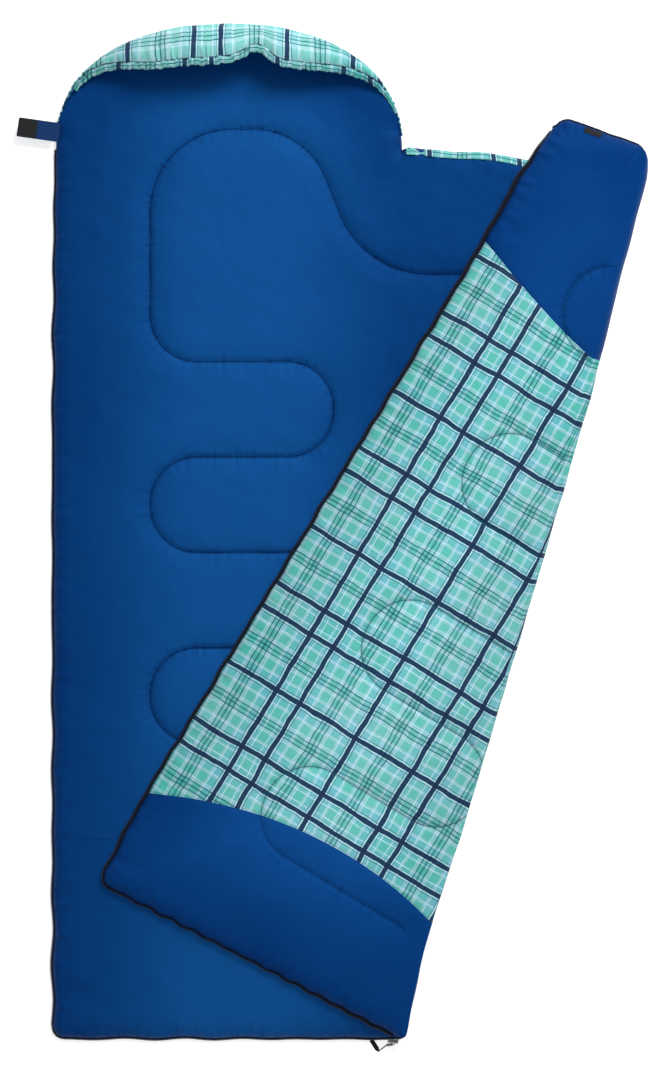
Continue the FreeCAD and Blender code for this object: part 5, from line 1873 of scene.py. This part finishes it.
def make_slider():
    """Slider body: two shouldered plates, a wedge between them, a bridge and the ring for the pull."""
    inner, outer = FOOT_Y - SLIDER_NEAR, FOOT_Y - SLIDER_FAR
    left, right = SLIDER_X - SLIDER_LENGTH / 2, SLIDER_X + SLIDER_LENGTH / 2
    middle = (inner + outer) / 2
    waist_x, waist_y = left + SLIDER_WAIST[0], SLIDER_WAIST[1]
    mouth_x, mouth_y = right - SLIDER_MOUTH[0], SLIDER_MOUTH[1]
    shape = rounded_outline([
        (left, inner - SLIDER_TAIL), (left, outer + SLIDER_TAIL), (waist_x, outer + waist_y),
        (mouth_x, outer), (right, outer + mouth_y), (right, inner - mouth_y), (mouth_x, inner),
        (waist_x, inner - waist_y),
    ], 1.0)
    wedge = [np.array([right - back, middle - WEDGE_SHIFT]) for back in WEDGE_ENDS]
    wedge = rounded_outline(bar(*wedge, *WEDGE_WIDTHS), 0.5)
    top = SLIDER_BOTTOM + SLIDER_PLATE + SLIDER_GAP
    parts = [prism_mesh(shape, SLIDER_BOTTOM, SLIDER_BOTTOM + SLIDER_PLATE, SLIDER_EASE),
             prism_mesh(shape, top, top + SLIDER_PLATE, SLIDER_EASE),
             prism_mesh(wedge, SLIDER_BOTTOM + WEDGE_PAST, top + WEDGE_PAST, 0.3)]
    steps = np.linspace(0, math.pi, 15)
    bridge = np.column_stack([SLIDER_X + BRIDGE_REACH * np.cos(steps), np.full(len(steps), middle),
                              top + SLIDER_PLATE - 0.3 + BRIDGE_RISE * np.sin(steps)])
    parts.append(tube(bridge, BRIDGE_WIRE, 10))
    steps = np.linspace(0, 2 * math.pi, 25)
    ring = np.column_stack([SLIDER_X + RING_R * np.cos(steps),
                            PULL_ROOT[1] + RING_MIDDLE + RING_R * np.sin(steps),
                            RING_HEIGHT[0] + RING_HEIGHT[1] * np.sin(steps)])
    parts.append(tube(ring, RING_WIRE, 8, closed_ends=False))
    plain_piece("slider_body", *joined(parts), "metal", "slider_metal", "slider", ["zip_slider"])


def make_pull():
    """Flat pull plate with a raised rim."""
    low, high = PULL_HEIGHTS
    outline = rounded_outline(bar(PULL_ROOT, PULL_EYE, *PULL_WIDTHS), 1.6)
    pull = prism_mesh(outline, low, high, PULL_EASE)
    rim_start, rim_end = PULL_ROOT + np.array([-3.0, -0.3]), PULL_EYE + np.array([1.6, 0.2])
    rim = rounded_outline(bar(rim_start, rim_end, *RIM_WIDTHS), 1.0)
    rim = np.column_stack([rim, np.full(len(rim), high)])
    pull = joined([pull, tube(np.concatenate([rim, rim[:1]]), RIM_WIRE, 6, closed_ends=False)])
    plain_piece("pull_plate", *pull, "metal", "slider_metal", "pull", ["zip_pull"])


def make_ribbon():
    """Doubled line from the pull to a tip, and the folded ribbon grip tied there."""
    strands = []
    steps = np.linspace(0, 1, 16)
    run = PULL_TIP - PULL_EYE
    side = np.array([-run[1], run[0]]) / np.linalg.norm(run)
    height = STRAND_HEIGHT[0] + STRAND_HEIGHT[1] * np.sin(steps * math.pi)
    for shift in (-STRAND_SHIFT, STRAND_SHIFT):
        beside = side * (shift * (1 - STRAND_CLOSING * steps))[:, None]
        plan = PULL_EYE + steps[:, None] * run + beside
        strands.append(tube(np.column_stack([plan, height]), STRAND_WIRE, 7))
    knot = np.array([PULL_TIP + KNOT_RUN * step for step in np.linspace(-1.5, 1.5, 7)])
    strands.append(tube(np.column_stack([knot, np.full(len(knot), KNOT_HEIGHT)]), KNOT_WIRE, 8))
    plain_piece("pull_line", *joined(strands), "black", "black_ribbon", "ribbon", ["zip_pull_loop"])
    steps = np.linspace(0, 1, 40)
    rails = np.linspace(-0.5, 0.5, 15)
    s, w = np.meshgrid(steps, rails)
    run = RIBBON_END - PULL_TIP
    length = np.linalg.norm(run)
    side = np.array([-run[1], run[0]]) / length
    neck, neck_run = RIBBON_NECK
    width = RIBBON_WIDTH * (neck + (1 - neck) * smooth(s / neck_run))
    x = PULL_TIP[0] + s * run[0] + w * width * side[0]
    y = PULL_TIP[1] + s * run[1] + w * width * side[1]
    ribs = RIBBON_RIBS[0] * np.sin(s * length * 2 * math.pi / RIBBON_RIBS[1])
    curl = RIBBON_CURL[0] * np.sin(s * RIBBON_CURL[1] * math.pi) * (w + 0.5)
    z = RIBBON_HEIGHT + curl + ribs
    hidden = np.full_like(z, RIBBON_BOTTOM)
    uv = np.stack([s * length, w * RIBBON_WIDTH], axis=-1)
    marks = flat_marks(x.size, (s * length * MM).ravel(), TRIM_EDGE)
    obj = slab("grip_ribbon", x, y, z, hidden, uv, MATERIALS["black"], marks, up=False)
    enrol(obj, ["zip_ribbon"], "ribbon")


# =====================================================================
# Ground, light and camera
# =====================================================================
VIEW_HEIGHT = 2316.6        # height of the framed area on the ground
CAMERA_CENTRE = (218.8, 123.3)
LENS = 100.0
SENSOR = 36.0
FLOOR_GLOW = 0.35
FLOOR_HALF = 20000.0
FLOOR_LEVEL = -0.2
WORLD_LIGHT = 0.38
SOFT_BOX = ((0.0, -0.9, 5.0), 1.6, 80.0)    # place, size and power
KEY_LIGHT = ((2.0, 3.8, 3.6), 2.2, 265.0)


def make_ground():
    """Plain pale floor."""
    paint = Paint("studio_floor", 0.9, 0.2)
    speckle = paint.noise(paint.place(), 40.0, 2.0)
    tone = paint.mix(speckle, srgb(246, 246, 246), srgb(250, 250, 250))
    material = paint.finish(tone)
    # The floor glows a little, like a lit product table, so shadows on it stay faint.
    paint.shader.inputs["Emission Color"].default_value = (1, 1, 1, 1)
    paint.shader.inputs["Emission Strength"].default_value = FLOOR_GLOW
    corners = [(-1, -1), (1, -1), (1, 1), (-1, 1)]
    points = [(x * FLOOR_HALF, y * FLOOR_HALF, FLOOR_LEVEL) for x, y in corners]
    floor = make_mesh("studio_ground", points, [[0, 1, 2, 3]], materials=[material])


def add_area(name, place, size, power, target=(0.2, 0.0, 0.0)):
    """Soft square light aimed at a point."""
    light = bpy.data.lights.new(name, "AREA")
    light.shape = "SQUARE"
    light.size = size
    light.energy = power
    obj = bpy.data.objects.new(name, light)
    obj.location = place
    direction = np.array(target) - np.array(place)
    obj.rotation_mode = "QUATERNION"
    obj.rotation_quaternion = Vector(direction).to_track_quat("-Z", "Y")
    bpy.context.scene.collection.objects.link(obj)


def make_light():
    """Even white surround, a large soft box near the lens and a softer key from the upper right."""
    world = bpy.data.worlds.new("studio_air")
    world.use_nodes = True
    background = world.node_tree.nodes["Background"]
    background.inputs["Color"].default_value = (1, 1, 1, 1)
    background.inputs["Strength"].default_value = WORLD_LIGHT
    bpy.context.scene.world = world
    add_area("soft_box", *SOFT_BOX)
    add_area("key", *KEY_LIGHT)
    bpy.context.scene.view_settings.view_transform = "Standard"


def make_camera():
    """Straight down from above, with the opened bag filling the frame."""
    camera = bpy.data.cameras.new("camera")
    camera.lens = LENS
    camera.sensor_width = SENSOR
    camera.clip_end = 60.0
    obj = bpy.data.objects.new("camera", camera)
    distance = VIEW_HEIGHT * MM * LENS / SENSOR
    obj.location = (CAMERA_CENTRE[0] * MM, CAMERA_CENTRE[1] * MM, distance + TOP_Z * MM)
    bpy.context.scene.collection.objects.link(obj)
    bpy.context.scene.camera = obj


def main():
    """Builds every piece, the ground, the light and the camera."""
    make_lining()
    make_undersides()
    make_flap()
    make_fold_rolls()
    make_hood()
    make_zip()
    make_stitches()
    make_hem()
    make_binding()
    make_loop_patch()
    make_tab()
    make_slider()
    make_pull()
    make_ribbon()
    make_ground()
    make_light()
    make_camera()


main()
